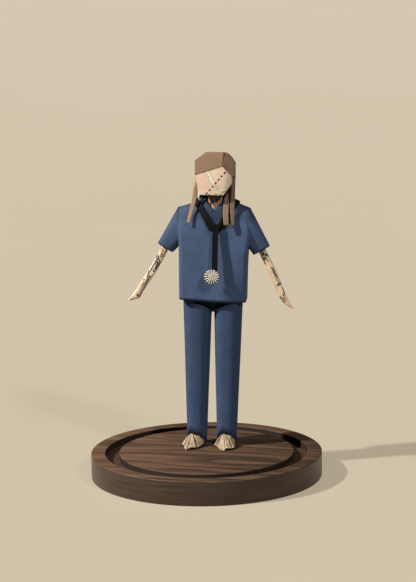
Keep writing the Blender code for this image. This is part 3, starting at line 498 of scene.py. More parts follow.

# %% [markdown]
# ## Blue paper
# The clothes are folded from plain blue paper, slightly uneven in colour, with a fine tooth that scatters
# the light and a few paler fibres. The tooth is a bump far too small to see as a shape. Shade is painted
# into the finish as a deeper blue inside the V of the black strip, on the rolled shoulders and on one
# sleeve.

# %% Blue paper finish
PALE_FIBRE = (0.15, 0.18, 0.24)
# The colour of the painted shade on the tunic, and where and how strongly it is laid.
PAINTED_SHADE_BLUE = (0.01, 0.015, 0.026)
STRIP_FOOT = (1.3, 115.8)
STRIP_SLOPE = 1.45
PAINTED_SHADE_SHOULDER = (118.5, 122.5)
PAINTED_SHADE_SLEEVE_X = (-16.5, -18.5)
PAINTED_SHADE_SLEEVE_Z = (100, 103)
PAINTED_SHADE_SHARES = (0.62, 0.5, 0.28)


def figure_along(spot, axis):
    """Place along one axis of the figure's own frame."""
    direction = STAND.to_3x3() @ axis
    return spot.along(direction) - direction.dot(FOOT / MM)


def figure_xz(spot):
    """Surface coordinates across and up the figure."""
    return figure_along(spot, X_AXIS), figure_along(spot, Z_AXIS)


def tunic_painted_shade(spot):
    """How much painted shade deepens the blue inside the V of the strip, on the shoulders and on one sleeve.
    """
    x, z = figure_xz(spot)
    front = figure_along(spot, Y_AXIS).rise(-1, -3)
    neckline = (z - STRIP_FOOT[1] - (x - STRIP_FOOT[0]).size() * STRIP_SLOPE).rise(0, 2.5) * front
    sleeve = x.rise(*PAINTED_SHADE_SLEEVE_X) * z.rise(*PAINTED_SHADE_SLEEVE_Z)
    return [area * share for area, share in zip((neckline, z.rise(*PAINTED_SHADE_SHOULDER), sleeve), PAINTED_SHADE_SHARES)]


def blue_paper(name, dark, light):
    def draw(spot):
        mottle = spot.cloud(0.18, 3, 0.6)
        tooth = spot.cloud(3.2, 3, 0.6)
        fibres = spot.stretch((1, 1, 0.22), turn=(0.3, 0.2, 0.5)).cloud(2.4, 2, 0.7).rise(0.66, 0.82)
        blue = (mottle * 0.7 + tooth * 0.3).ramp((0.3, dark), (0.7, light))
        blue = blue.printed((fibres * 0.14, PALE_FIBRE))
        # Painted shade: the blue is darkened inside the V, on the shoulders and on one sleeve.
        blue = blue.printed(*((shade, PAINTED_SHADE_BLUE) for shade in tunic_painted_shade(spot)))
        return {"Base Color": blue, "Roughness": 0.66 + tooth * 0.16, "Normal": tooth.relief(0.22, 0.1),
                "Specular IOR Level": 0.22}

    return make_finish(name, draw)


BLUE = blue_paper("blue_tunic_paper", (0.048, 0.073, 0.123), (0.066, 0.096, 0.159))
TROUSER_BLUE = blue_paper("blue_trouser_paper", (0.0287, 0.0452, 0.083), (0.0388, 0.059, 0.104))
print("blue paper ready")

# %% [markdown]
# ## Trouser legs
# Each leg is a rolled tube that widens a little upwards and is cut on a slant over the instep. Rings of
# points are bridged into a tube, each column of points is stretched from its own hem height to the waist,
# and the open tube is thickened to the paper's own thickness.


# %% Tubes
def ring(bm, centre, first, second, roundness, count):
    """A closed loop on a superellipse with half axes first and second."""
    loop = []
    for step in range(count):
        angle = 2 * math.pi * step / count
        along = math.copysign(abs(math.cos(angle)) ** (2 / roundness), math.cos(angle))
        across = math.copysign(abs(math.sin(angle)) ** (2 / roundness), math.sin(angle))
        loop.append(bm.verts.new(centre + first * along + second * across))
    return [bm.edges.new((loop[step - 1], loop[step])) for step in range(count)]


def tube(sections, roundness, count):
    """A tube through sections of a centre and two half axes; roundness is given for its first and last."""
    bm = bmesh.new()
    last = len(sections) - 1
    loops = [ring(bm, *section, lerp(roundness, step / last), count) for step, section in enumerate(sections)]
    for lower, upper in zip(loops, loops[1:]):
        bmesh.ops.bridge_loops(bm, edges=lower + upper)
    fresh_normals(bm)
    return bm


print("tubes can be made")

# %% Trouser legs
LEG_INNER = (2.75, 0.35)
LEG_OUTER = (12.95, 15.75)
LEG_DEPTH = (5.2, 6.7)
LEG_SHIFT = 0.12
LEG_TOP = 84
HEM_PEAK = {"right": (-10.6, 6.9, 0.08, 0.36), "left": (6.5, 7.3, 0.45, 0.36)}
HEM_BACK = 0.55
FLY_TOP = 77.6
FLY_BOTTOM = 72.6
FLY_HALF = 9.6
FLY_DEPTH = 3
FLY_X = 0.3
FLY_SOFT = 1.2
FLY_FRONT = -2
LEG_AXIS = 7.9
LEG_WAVE = 0.1


def hem_height(name, x, y):
    """The hem is highest over the instep and falls to both sides and to the back."""
    middle, peak, leftwards, rightwards = HEM_PEAK[name]
    front = peak - leftwards * max(0, middle - x) - rightwards * max(0, x - middle)
    return max(1, front - HEM_BACK * (y + LEG_DEPTH[0]))


def make_leg(side, name):
    sections = []
    for share in spaced(0, 0.8, 15) + spaced(0.82, 1, 22):
        inner = lerp(LEG_INNER, share)
        outer = lerp(LEG_OUTER, share)
        centre = mm(side * (inner + outer) / 2 - LEG_SHIFT, 0, share)
        sections.append((centre, mm((outer - inner) / 2, 0, 0), mm(0, lerp(LEG_DEPTH, share), 0)))
    bm = tube(sections, (2.5, 2.5), 72)
    for vert in bm.verts:
        x, y, share = vert.co / MM
        z = lerp((hem_height(name, x, y), LEG_TOP), share)
        rise = clamp01((z - FLY_BOTTOM) / (FLY_TOP - FLY_BOTTOM))
        inside = clamp01((FLY_HALF * rise - abs(x - FLY_X)) / FLY_SOFT)
        if y < 0:
            y = max(y, min(y + FLY_DEPTH * inside, FLY_FRONT))
        outwards = Vector((x - side * LEG_AXIS, y, 0)).normalized()
        vert.co = mm(x, y, z) + outwards * LEG_WAVE * MM * flutter(mm(x, y, z * 0.25), 0.16, side * 3.1)
    show(name + "_rolled_leg", bm, TROUSER_BLUE, "figure", [name + "_trouser_leg"], smooth=35)


for side, name in SIDES:
    make_leg(side, name)

# %% [markdown]
# ## Gusset
# Between the tops of the legs the trousers are folded into a small dark V. Three points across its top are
# extruded down to a narrow foot, and the strip is thickened both ways.

# %% Gusset
GUSSET_TOP = ((-2.4, -4, LEG_TOP), (FLY_X, -2.9, LEG_TOP), (3, -4, LEG_TOP))
GUSSET_FOOT = 71.7
GUSSET_TAPER = 0.3


def make_gusset():
    bm = bmesh.new()
    top = [bm.verts.new(mm(*point)) for point in GUSSET_TOP]
    for vert in extruded(bm, [bm.edges.new(pair) for pair in zip(top, top[1:])]):
        vert.co = mm(lerp((FLY_X, vert.co.x / MM), GUSSET_TAPER), vert.co.y / MM + 0.4, GUSSET_FOOT)
    show("folded_gusset", bm, TROUSER_BLUE, "figure", ["trouser_gusset"], (PAPER, 0))


make_gusset()

# %% [markdown]
# ## Tunic
# The tunic is two sheets that meet at the side seams and roll in to the shoulder fold. A flat grid is
# bent column by column: flat across the chest, rounded at the sides, drawn back at the shoulders. Light
# that grazes the front shows every unevenness of hand-folded paper, so soft noise moves the sheet by a
# fraction of a millimetre.

# %% Tunic shape
HEM_Z = 77.8
HEM_HALF = 17
CHEST_HALF = 17.45
SHOULDER_HALF = 18.8
TUNIC_DEPTH = 8.6
SIDE_LEAN = 1
LEAN_BACK = 4
LEAN_TOP = 124
LEAN_FADE = 12
HEM_TILT = (0.05, -0.012)
HEM_TILT_TOP = 100
TUNIC_CORNER = 2
SHOULDER_X = 19.2
SHOULDER_Z = 125.8
NECK_X = 0.8
NECKLINE_X = 1.1
NECKLINE_HALF = 4.3
NECKLINE_RUN = {-1: 6.2, 1: 4.3}
NECKLINE_Z = 131.2
NECKLINE_V = 126.1
NECKLINE_BACK = 129.6
ARMHOLE = (107.5, 123, 3.6)
FOLDS = ((9, 2.6, 0.3), (-4.5, 4.5, 0.25))
FLARE = (16.5, 6, 2.9, 104)
UNDERARM = (113, 8, 1.3, 9, 6)
ROLL_DROP = 16
ROLL_POWER = 2.4
FOLD_TOP = 122
FOLD_FADE = 25
FOLD_EDGE = 0.22
SEAM_HALF = 0.06
ROW_SPACING = 1.35
SHEET_WAVE = 0.16
WAVE_FADE = 10


def crest(x):
    slope = (NECKLINE_Z - SHOULDER_Z) / (SHOULDER_X - NECKLINE_HALF)
    return NECKLINE_Z - slope * max(0, abs(x - NECKLINE_X) - NECKLINE_HALF)


def shoulder_roll(x, z):
    drop = clamp01((crest(x) - z) / ROLL_DROP)
    return (1 - (1 - drop) ** ROLL_POWER) ** (1 / ROLL_POWER)


def front_fold(x, z):
    fade = clamp01((FOLD_TOP - z) / FOLD_FADE)
    soft = fade * sum(depth * math.exp(-((x - place) / width) ** 2) for place, width, depth in FOLDS)
    place, width, depth, start = FLARE
    opened = clamp01((start - z) / (start - HEM_Z))
    return soft + opened * depth * math.exp(-((x - place) / width) ** 2)


def front_surface(x, z):
    return -TUNIC_DEPTH * shoulder_roll(x, z) + front_fold(x, z)


def half_width(z):
    if z < ARMHOLE[0]:
        return lerp((HEM_HALF, CHEST_HALF), (z - HEM_Z) / (ARMHOLE[0] - HEM_Z))
    return lerp((CHEST_HALF, SHOULDER_HALF), clamp01((z - ARMHOLE[0]) / (SHOULDER_Z - ARMHOLE[0])))


def girth_point(half, travel):
    """Point on the rounded front; travel runs from -1 at one side seam to 1 at the other."""
    flat = half - TUNIC_CORNER
    arc = TUNIC_CORNER * math.pi / 2
    side = TUNIC_DEPTH - TUNIC_CORNER
    run = abs(travel) * (flat + arc + side)
    if run <= flat:
        return math.copysign(run, travel), -TUNIC_DEPTH
    if run <= flat + arc:
        angle = (run - flat) / TUNIC_CORNER
        across = math.copysign(flat + TUNIC_CORNER * math.sin(angle), travel)
        return across, -side - TUNIC_CORNER * math.cos(angle)
    return math.copysign(half, travel), -side + (run - flat - arc)


print("chest is", 2 * CHEST_HALF, "mm wide")


# %% Tunic sheets
def bend_panel(front):
    bm = bmesh.new()
    bmesh.ops.create_grid(bm, x_segments=72, y_segments=44, size=1)
    for vert in bm.verts:
        travel = vert.co.x
        rise = 1 - (1 - (vert.co.y + 1) / 2) ** ROW_SPACING
        x, y = girth_point(half_width(HEM_Z + rise * (SHOULDER_Z - HEM_Z)), travel)
        z = HEM_Z + rise * (crest(x) - HEM_Z)
        y *= shoulder_roll(x, z)
        if front:
            y += front_fold(x, z) * clamp01((1 - abs(travel)) / FOLD_EDGE)
        y = min(y, -SEAM_HALF)
        depth_now = y if front else -y
        if x > 0:
            forward = clamp01((LEAN_BACK - depth_now) / (LEAN_BACK + TUNIC_DEPTH))
            x += SIDE_LEAN * forward * clamp01((LEAN_TOP - z) / LEAN_FADE)
            place, reach, fullness, start, run = UNDERARM
            x += fullness * clamp01((x - start) / run) * math.exp(-((z - place) / reach) ** 2)
        z += HEM_TILT[x > 0] * abs(x) * clamp01((HEM_TILT_TOP - z) / (HEM_TILT_TOP - HEM_Z))
        vert.co = mm(x, depth_now, z)
        wave = clamp01((crest(x) - z) / WAVE_FADE) * SHEET_WAVE
        vert.co.y += wave * MM * flutter(Vector((vert.co.x, vert.co.y, vert.co.z * 0.35)), 0.13, 1.3)
    return bm


def open_neck(bm):
    foot = Vector((NECKLINE_X, 0, NECKLINE_V))
    rise = NECKLINE_Z - NECKLINE_V
    normals = [Vector((-side * rise, 0, run)) for side, run in NECKLINE_RUN.items()]
    for normal in normals:
        cut(bm, foot * MM, normal, clear=False)
    drop_faces(bm, lambda spot: all((spot - foot).dot(normal) > 0 for normal in normals))


def open_armholes(bm):
    low, high, reach = ARMHOLE
    for z in (low, high):
        cut(bm, mm(0, 0, z), Z_AXIS, clear=False)
    for y in (-reach, reach):
        cut(bm, mm(0, y, 0), Y_AXIS, clear=False)
    flat = CHEST_HALF - TUNIC_CORNER
    drop_faces(bm, lambda spot: abs(spot.x) > flat and abs(spot.y) < reach and low < spot.z < high)


def make_tunic():
    for name, front in (("front", True), ("back", False)):
        bm = bend_panel(front)
        if front:
            open_neck(bm)
        else:
            cut(bm, mm(0, 0, NECKLINE_BACK), Z_AXIS)
        open_armholes(bm)
        bmesh.ops.remove_doubles(bm, verts=bm.verts, dist=0.12 * MM)
        face_away(bm, mm(0, 0, 100))
        show("tunic_sheet_" + name, bm, BLUE, "figure", ["tunic_" + name], smooth=35)


make_tunic()

# %% [markdown]
# ## Collar bands
# Two narrow facings are folded over along the V of the neck. The outer edge of each lies a hair above the
# tunic, and its inner edge runs straight from the foot of the V up towards the chin.


# %% Strips
def ribbon(stations, columns=1, cup=0):
    """A strip through stations of a point and half its width; cup bends it across, in parts of the width."""
    bm = bmesh.new()
    place = bm.verts.layers.float.new("across")
    last = len(stations) - 1
    bmesh.ops.create_grid(bm, x_segments=columns, y_segments=last, size=1)
    for vert in bm.verts:
        share = vert.co.x
        index = round((vert.co.y + 1) / 2 * last)
        point, half = stations[index]
        along = stations[min(index + 1, last)][0] - stations[max(index - 1, 0)][0]
        bow = along.cross(half).normalized() * half.length * cup
        vert.co = point + half * share + bow * (share * share - 1)
        vert[place] = share
    fresh_normals(bm)
    return bm


COLLAR_EDGE = (-7.08, -4.6)
COLLAR_WIDTH = 2.2
COLLAR_TOP = 131.3
COLLAR_START = {-1: 0.02, 1: 0.38}
COLLAR_END = 1.35
COLLAR_INSET = 0.1
COLLAR_LIFT = 0.08
COLLAR_WALL = (0.16, 1)


def make_collar(side, name):
    foot = mm(NECKLINE_X, 0, NECKLINE_V)
    rise = NECKLINE_Z - NECKLINE_V
    run = NECKLINE_RUN[side]
    outward = Vector((side * rise, 0, -run)).normalized()
    along = mm(side * run, 0, rise)
    stations = []
    for share in spaced(COLLAR_START[side], COLLAR_END, 16):
        inner = foot + along * share + outward * COLLAR_INSET * MM
        inner.y = lerp(COLLAR_EDGE, share) * MM
        outer = foot + along * share + outward * COLLAR_WIDTH * MM
        outer.y = (front_surface(outer.x / MM, outer.z / MM) - COLLAR_LIFT) * MM
        stations.append(((inner + outer) / 2, (outer - inner) / 2))
    bm = ribbon(stations, 2)
    cut(bm, mm(0, 0, COLLAR_TOP), Z_AXIS)
    face_away(bm, mm(NECK_X, 0, 120))
    show(name + "_collar_band", bm, BLUE, "figure", [name + "_collar"], COLLAR_WALL)


for side, name in SIDES:
    make_collar(side, name)

# %% [markdown]
# ## Sleeves
# A sleeve is a short tube that is pressed flatter towards the cuff, so that a fold runs along its outer
# edge, and carried a little forward with the arm. Sections from shoulder to cuff are bridged. Inside the
# tunic the tube goes on along an arc about the shoulder, so that a raised arm draws paper out of the
# armhole and leaves no gap.

# %% Sleeves
SLEEVE_TOP = (18.6, 126)
SLEEVE_FREE = (16.6, 7)
SLEEVE_TUCK = 38
SLEEVE_INSIDE = 7.3
SLEEVES = {
    "right": ((-15.9, 107.6), (-28.77, 107.3), (-20.75, 102.65)),
    "left": ((17.4, 107.2), (29.5, 107.5), (21.1, 102.6)),
}
SLEEVE_DEPTH = (8, 2.6)
CUFF_FORWARD = -3.1
SLEEVE_DRIFT = 0.012
SLEEVE_WAVE = 0.14


def sleeve_section(high, low, forward, deep):
    middle, half = (high + low) / 2, (high - low) / 2
    return mm(middle.x, forward, middle.y), mm(half.x, 0, half.y), mm(0, deep, 0)


def make_sleeve(side, name):
    armpit, cuff_outer, cuff_inner = (Vector(corner) for corner in SLEEVES[name])
    top = Vector((side * SLEEVE_TOP[0], SLEEVE_TOP[1]))
    pivot = Vector((side * SHOULDER_X, SHOULDER_Z))
    sections = []
    for turn in spaced(SLEEVE_TUCK, SLEEVE_TUCK / 6, 6):
        low = pivot + Matrix.Rotation(-side * math.radians(turn), 2) @ (armpit - pivot)
        high = top - Vector((side * turn * SLEEVE_DRIFT, 0))
        sections.append(sleeve_section(high, low, 0, SLEEVE_INSIDE))
    for share in spaced(0, 1, 14):
        high, low = top.lerp(cuff_outer, share), armpit.lerp(cuff_inner, share)
        sections.append(sleeve_section(high, low, CUFF_FORWARD * share, lerp(SLEEVE_DEPTH, share)))
    bm = tube(sections, (3.6, 2.6), 48)
    for vert in bm.verts:
        x, z = vert.co.x / MM, vert.co.z / MM
        clear = clamp01((abs(x) - SLEEVE_FREE[0]) / SLEEVE_FREE[1])
        vert.co.y *= lerp((shoulder_roll(side * min(abs(x), SHOULDER_HALF), z) ** 0.7, 1), clear)
        vert.co.y += SLEEVE_WAVE * MM * flutter(vert.co, 0.12, side * 5.3)
    show(name + "_flared_sleeve", bm, BLUE, name + "_limb", [name + "_sleeve"], smooth=35)


for side, name in SIDES:
    make_sleeve(side, name)

# %% [markdown]
# ## Map paper
# Arms, face, neck and shoes are folded from an old printed map: peach and cream land, cream roads with
# dark edges, thin brown contour lines, grey-green low ground and black specks. All of it is drawn from
# noise, cell borders and small patches, as ordinary map signs and no place in particular.

# %% Map paper finish
PEACH = (0.8, 0.55, 0.355)
CREAM = (0.83, 0.7, 0.49)
INK = (0.024, 0.02, 0.015)
OLIVE = (0.2, 0.185, 0.105)
BROWN = (0.36, 0.215, 0.125)


def map_paper(name, draw):
    """Paper with a print of its own, worn by handling."""

    def worn(spot):
        wear = spot.cloud(0.5, 3, 0.6)
        tooth = spot.cloud(4, 2, 0.6)
        colour = (wear.rise(0.5, 0.75) * 0.18).tint(draw(spot), (0.62, 0.47, 0.31))
        return {"Base Color": colour, "Roughness": 0.6 + wear * 0.2, "Normal": tooth.relief(0.18, 0.08)}

    return make_finish(name, worn)


def map_print(spot):
    """Land, contour lines, low ground, roads and specks of a generic printed map."""
    sheet = spot.stretch((1, 1, 1), (31, 7, 3))
    bent = sheet.swirl(3, 0.12)
    land = bent.cloud(0.16, 2).rise(0.4, 0.62).tint(PEACH, CREAM)
    contour = ((bent.cloud(0.13, 2) * 9).wrap() - 0.5).size().rise(0.1, 0.04)
    low = (bent.cloud(0.11, 1) - 0.5).size().rise(0.0165, 0.009)
    border = bent.cells("DISTANCE_TO_EDGE", 0.14)
    dots = sheet.cells("F1", 0.95).rise(0.34, 0.22) * sheet.cloud(0.17, 2).rise(0.58, 0.66)
    line = (bent.cloud(0.09, 1) - 0.52).size().rise(0.005, 0.0025)
    return land.printed(
        (contour * 0.55, BROWN), (low * 0.85, OLIVE), (border.rise(0.051, 0.036) * 0.8, INK),
        (border.rise(0.033, 0.018), CREAM), (dots * 0.9, INK), (line * 0.85, INK))


def line_frame(spot, start, end):
    """Distance along and across a straight line on the figure's front."""
    x, z = figure_xz(spot)
    way = (Vector(end) - Vector(start)).normalized()
    travel = (x - start[0]) * way.x + (z - start[1]) * way.y
    aside = (z - start[1]) * way.x - (x - start[0]) * way.y
    return travel, aside


def lay_signs(ground, travel, aside, signs):
    """Print small patches: place and half length along, place and half width across, slant, colour."""
    for place, length, beside, width, slant, colour in signs:
        reach = (travel - place - aside * slant).size().rise(length + 0.15, length - 0.15)
        girth = (aside - beside).size().rise(width + 0.15, width - 0.15)
        ground = (reach * girth).tint(ground, colour)
    return ground


print("map paper ready")

# %% [markdown]
# ## Shoes
# Each shoe is a square of map paper pleated from one point under the trouser hem and tucked under at the
# toe. A filled circle of triangles is already such a fan of folds, so its middle goes to the instep and
# its rim to the corners of the shoe, and the rim is then extruded under the sole.


# %% Shoe print
def shoe_print(spot):
    """Tan of handled paper with a little print, and brown shade that gathers in the sharp creases."""
    tan = spot.cloud(0.35, 3, 0.6).rise(0.3, 0.7).tint((0.165, 0.108, 0.055), (0.315, 0.212, 0.113))
    tan = (spot.cloud(0.22, 2).rise(0.35, 0.6) * 0.12).tint(tan, map_print(spot))
    return (spot.painted("fold").rise(0.55, 0.95) * 0.85).tint(tan, (0.05, 0.03, 0.015))


MAP_SHOE = map_paper("map_shoe", shoe_print)
print("shoe paper ready")

# %% Shoes
SHOES = {
    "right": ((-10.1, -3.2, 7.3), [
        (-15, -7.5, 1.6, 0.35), (-13.7, -9.2, 1.3, -0.35), (-13.1, -12.2, 0.8, 0.4), (-11.8, -14.8, 0.3, 0.5),
        (-10.6, -13.2, 0.8, 0.3), (-9.5, -13, 1.5, 0.1), (-7.2, -12.6, 1.2, 0.5), (-6.1, -10.8, 0.9, -0.5),
        (-5.5, -10.1, 1, 0.6), (-4.8, -8, 1.4, 0.7), (-3.6, -6, 1.9, 0.9), (-3.9, -3, 3, 0.9),
        (-4.4, 1, 1.6, 0.6), (-5.8, 2.8, 0.5, 0.3), (-10.2, 2.8, 0.5, 0.3), (-12.8, 0.2, 0.9, 0.4)]),
    "left": ((6.5, -3.2, 7.6), [
        (2.1, -8.2, 1.6, 0.35), (3.1, -8.6, 1.5, -0.45), (4.4, -10.3, 1, 0.5), (5.7, -12.9, 0.5, 0.4),
        (8.4, -14.8, 0.3, 0.6), (8.8, -13.5, 1, 0.3), (9.7, -13.6, 1.6, 0.2), (11.7, -12.4, 1.1, 0.6),
        (12.2, -11.3, 1.1, -0.5), (13, -11, 1.1, 0.6), (13.1, -7.6, 2, 0.9), (12.7, -3.4, 3, 0.9),
        (12.2, 1, 1.6, 0.6), (10.6, 2.8, 0.5, 0.3), (6.2, 2.8, 0.5, 0.3), (3.6, 0.2, 0.9, 0.4)]),
}
SHOE_TUCK = 0.2
SOLE_Z = 0.3
SOLE_SLOPE = 0.12
SHOE_WALL = (0.3, -1)


def make_shoe(name):
    apex, corners = Vector(SHOES[name][0]), SHOES[name][1]
    count = len(corners)
    heart = sum((Vector(corner[:3]) for corner in corners), Vector()) / count
    bm = bmesh.new()
    fold = bm.verts.layers.float.new("fold")
    bmesh.ops.create_circle(bm, cap_ends=True, cap_tris=True, segments=count, radius=1)
    bmesh.ops.subdivide_edges(bm, edges=[edge for edge in bm.edges if not edge.is_boundary], cuts=1)
    for vert in bm.verts:
        radius = vert.co.length
        turn = math.atan2(vert.co.y, vert.co.x) % (2 * math.pi)
        *corner, bulge = corners[round(turn / (2 * math.pi) * count) % count]
        place = Vector(corner)
        outwards = Vector((place.x - apex.x, place.y - apex.y, 0)).normalized()
        if radius < 0.25:
            place = apex
        elif radius < 0.75:
            place = apex.lerp(place, 0.5) + (outwards * 1.1 + Z_AXIS * 0.9) * bulge
        vert.co = place * MM
        vert[fold] = float(bulge < 0 and radius > 0.25)
    for vert in extruded(bm, [edge for edge in bm.edges if edge.is_boundary]):
        vert.co.x += (heart.x * MM - vert.co.x) * SHOE_TUCK
        vert.co.y += (heart.y * MM - vert.co.y) * SHOE_TUCK
        vert.co.z = SOLE_Z * MM + vert.co.z * SOLE_SLOPE
    face_away(bm, mm(heart.x, heart.y, 1))
    show(name + "_pleated_shoe", bm, MAP_SHOE, "figure", [name + "_foot"], SHOE_WALL, (0.12, 12),
         place=UPRIGHT)


for name in SHOES:
    make_shoe(name)

# %% [markdown]
# ## Arms
# An arm is a strip of map paper rolled flat, tapering to the wrist, with the hand folded to a point.
# Sections along the arm are bridged into a tube, and the arm comes forward towards the hand, clear of the
# body's shadow.

# %% Arm print
GREY_GREEN = (0.085, 0.09, 0.058)
ROSE = (0.4, 0.22, 0.15)
BUFF = (0.59, 0.47, 0.295)
ARM_SIGNS = {
    "right": ((-25.44, 103.83), (-39.2, 79.87), ((0.69, 0.45, 0.268), (0.72, 0.54, 0.335)), [
        (2.4, 0.35, 0.6, 1.2, 0.5, INK), (4.4, 0.4, -1.2, 0.7, -0.3, INK), (6.4, 0.35, -1, 0.8, 0.5, INK),
        (8.4, 0.35, 0.2, 1.5, 0.9, INK), (11.8, 0.4, 1.2, 0.7, 0.3, INK),
        (14.3, 0.4, -1.2, 0.5, 0.4, INK), (16.6, 0.35, 0.3, 1, 0.6, INK), (19.2, 0.3, -1, 0.5, 0.3, INK),
        (20, 0.4, 0.9, 0.7, 0.5, INK), (22.6, 0.35, -0.2, 0.9, 0.4, BROWN),
        (0.7, 0.5, 0, 2.5, 0.3, BROWN), (1.8, 0.4, 0, 2.5, 0.3, BROWN), (3.6, 1, 0.5, 0.7, 0, OLIVE),
        (5.4, 0.5, 0.2, 1.8, 0.9, INK), (7.3, 0.55, 0.7, 1.4, 0.4, INK), (9.8, 1.5, 1.3, 0.6, 0, INK),
        (10.5, 5.8, -0.5, 0.4, 0, GREY_GREEN), (17.6, 2.5, 0.8, 0.6, 0, GREY_GREEN),
        (21, 0.9, 0.6, 1.3, 0.2, OLIVE), (24.2, 2.8, 1, 0.9, 0, ROSE), (27.4, 0.5, 0.6, 0.8, 0.2, INK),
        (26.2, 0.9, -0.9, 0.6, 0, BUFF), (31, 0.6, -0.9, 0.6, 0, OLIVE), (30, 3.5, 1.6, 0.6, 0, ROSE)]),
    "left": ((25.68, 104.45), (37.64, 80.16), ((0.59, 0.335, 0.175), (0.62, 0.385, 0.215)), [
        (0.9, 0.4, 1.1, 0.6, 0.4, INK), (3.3, 0.4, -0.4, 0.6, -0.5, INK), (4.9, 0.35, 0.9, 0.5, 0.5, INK),
        (22.4, 1.4, 1.5, 0.4, 0, INK), (26, 0.4, 0.3, 0.6, 0.5, INK), (28.3, 0.4, -0.6, 0.6, -0.4, INK),
        (1.4, 1.8, 0, 2.5, 0, BUFF), (1.2, 0.8, -0.1, 0.8, 0, INK), (2.4, 0.6, 1.3, 0.6, 0, INK),
        (3.9, 0.6, 0.2, 0.55, 0, INK), (2.9, 0.5, -1.3, 0.5, 0, INK), (6.2, 0.6, -1.2, 0.45, 0, INK),
        (8.6, 0.8, 0, 2.5, 0.25, BUFF), (9.2, 0.5, 0.9, 0.6, 0, OLIVE), (17, 6.5, 0.9, 0.6, 0, BUFF),
        (12.4, 2.8, 1.2, 0.5, 0, INK), (16.2, 1.8, 1, 0.45, 0, OLIVE), (18.8, 0.6, 0.4, 0.6, 0, INK),
        (18.6, 0.6, 1.5, 0.5, 0, INK), (19.3, 1.5, -1.4, 0.4, 0, OLIVE), (24.6, 0.6, 0.9, 0.6, 0, INK),
        (25.4, 0.8, -1.2, 0.6, 0, INK), (27, 1.5, -0.3, 1, 0, OLIVE)]),
}


def arm_print(name):
    """Map signs laid out by their distance along the arm and across it, with frayed edges."""
    start, end, grounds, signs = ARM_SIGNS[name]

    def draw(spot):
        travel, aside = line_frame(spot, start, end)
        fray = (spot.cloud(0.9, 3, 0.7) - 0.5) * 1.6
        ground = spot.cloud(0.25, 2).rise(0.42, 0.62).tint(*grounds)
        ground = (spot.cells("F1", 0.8).rise(0.3, 0.2) * 0.35).tint(ground, BROWN)
        return lay_signs(ground, travel + fray, aside + fray * 0.5, signs)

    return draw


MAP_ARMS = {name: map_paper("map_" + name + "_arm", arm_print(name)) for name in ARM_SIGNS}
print("arm papers ready")

# %% Arms
ARM_KNOTS = {
    "right": [(-22.7, -2, 109.4, 1.8, 1.4), (-25.44, -2.8, 103.83, 1.85, 1.4),
              (-28.22, -3.6, 98.21, 1.9, 1.4), (-31.34, -4.4, 92.67, 2, 1.35),
              (-34.59, -5, 87.52, 1.85, 1.3), (-37.31, -5.6, 83.16, 1.85, 1.2),
              (-39.2, -6, 79.87, 2.1, 1.05), (-41.54, -6.3, 78.2, 1.1, 0.7),
              (-43.78, -6.6, 76.86, 0.12, 0.25)],
    "left": [(22.8, -2.1, 109.7, 1.9, 1.4), (25.68, -2.8, 104.45, 1.9, 1.4), (30.12, -3.9, 96.39, 1.9, 1.35),
             (34.42, -5, 87.18, 1.75, 1.3), (37.64, -5.8, 80.16, 1.65, 1.1), (39.97, -6.3, 77.83, 1, 0.7),
             (42.17, -6.6, 75.58, 0.12, 0.25)],
}
ARM_FLATNESS = 0.85
ARM_WAVE = 0.16
HAND_TOP = 85


def knots_between(knots, steps):
    """More stations between the knots, in straight folds."""
    stations = []
    for pairs in (list(zip(first, second)) for first, second in zip(knots, knots[1:])):
        stations += [[lerp(pair, step / steps) for pair in pairs] for step in range(steps)]
    return stations + [knots[-1]]


def make_arm(side, name):
    stations = knots_between(ARM_KNOTS[name], 4)
    sections = []
    for before, (x, y, z, wide, deep), after in with_neighbours(stations):
        along = Vector((after[0] - before[0], 0, after[2] - before[2])).normalized()
        sections.append((mm(x, y, z), mm(-along.z, 0, along.x) * wide, mm(0, deep * ARM_FLATNESS, 0)))
    bm = tube(sections, (2.8, 2.8), 28)
    tip = [edge for edge in bm.edges if edge.is_boundary and edge.verts[0].co.z < HAND_TOP * MM]
    bmesh.ops.holes_fill(bm, edges=tip, sides=0)
    fresh_normals(bm)
    for vert in bm.verts:
        vert.co.y += ARM_WAVE * MM * flutter(vert.co, 0.25, side * 7.7)
    show(name + "_rolled_arm", bm, MAP_ARMS[name], name + "_limb", [name + "_arm"], smooth=40)


for side, name in SIDES:
    make_arm(side, name)

# %% [markdown]
# ## Neck
# The neck is a folded tube with a crease down its front, mostly in the shadow of the chin, and that shadow is
# also painted into its print.

# %% Neck
CHIN_SHADOW_FOOT = (0.55, 128.8)
CHIN_SHADOW_SLOPE = 0.66


def neck_print(spot):
    """Peach below and speckled olive above a V: the dark upper part is painted chin shadow over the print,
    and the peach is darkened as painted shade.
    """
    x, z = figure_xz(spot)
    # Painted shadow: the part above the V, where the chin's shadow falls, is dark olive.
    upper = (z - CHIN_SHADOW_FOOT[1] - (x - CHIN_SHADOW_FOOT[0]).size() * CHIN_SHADOW_SLOPE).rise(-0.3, 0.3)
    peach = spot.cloud(0.5, 2).rise(0.3, 0.7).tint((0.34, 0.192, 0.115), (0.43, 0.267, 0.163))
    olive = spot.cloud(0.9, 2, 0.7).rise(0.35, 0.65).tint((0.17, 0.15, 0.095), (0.52, 0.43, 0.29))
    olive = (spot.cells("F1", 1.1).rise(0.36, 0.2) * 0.8).tint(olive, INK)
    return upper.tint(peach, olive)


MAP_NECK = map_paper("map_neck", neck_print)
NECK_RINGS = ((117.3, 0.2, 4.4, 4.2), (121.6, -0.5, 4.2, 4.9), (126, -0.7, 4, 5.2), (129.6, -0.4, 3.8, 4.6),
              (133.2, 0.1, 3.5, 3.8))


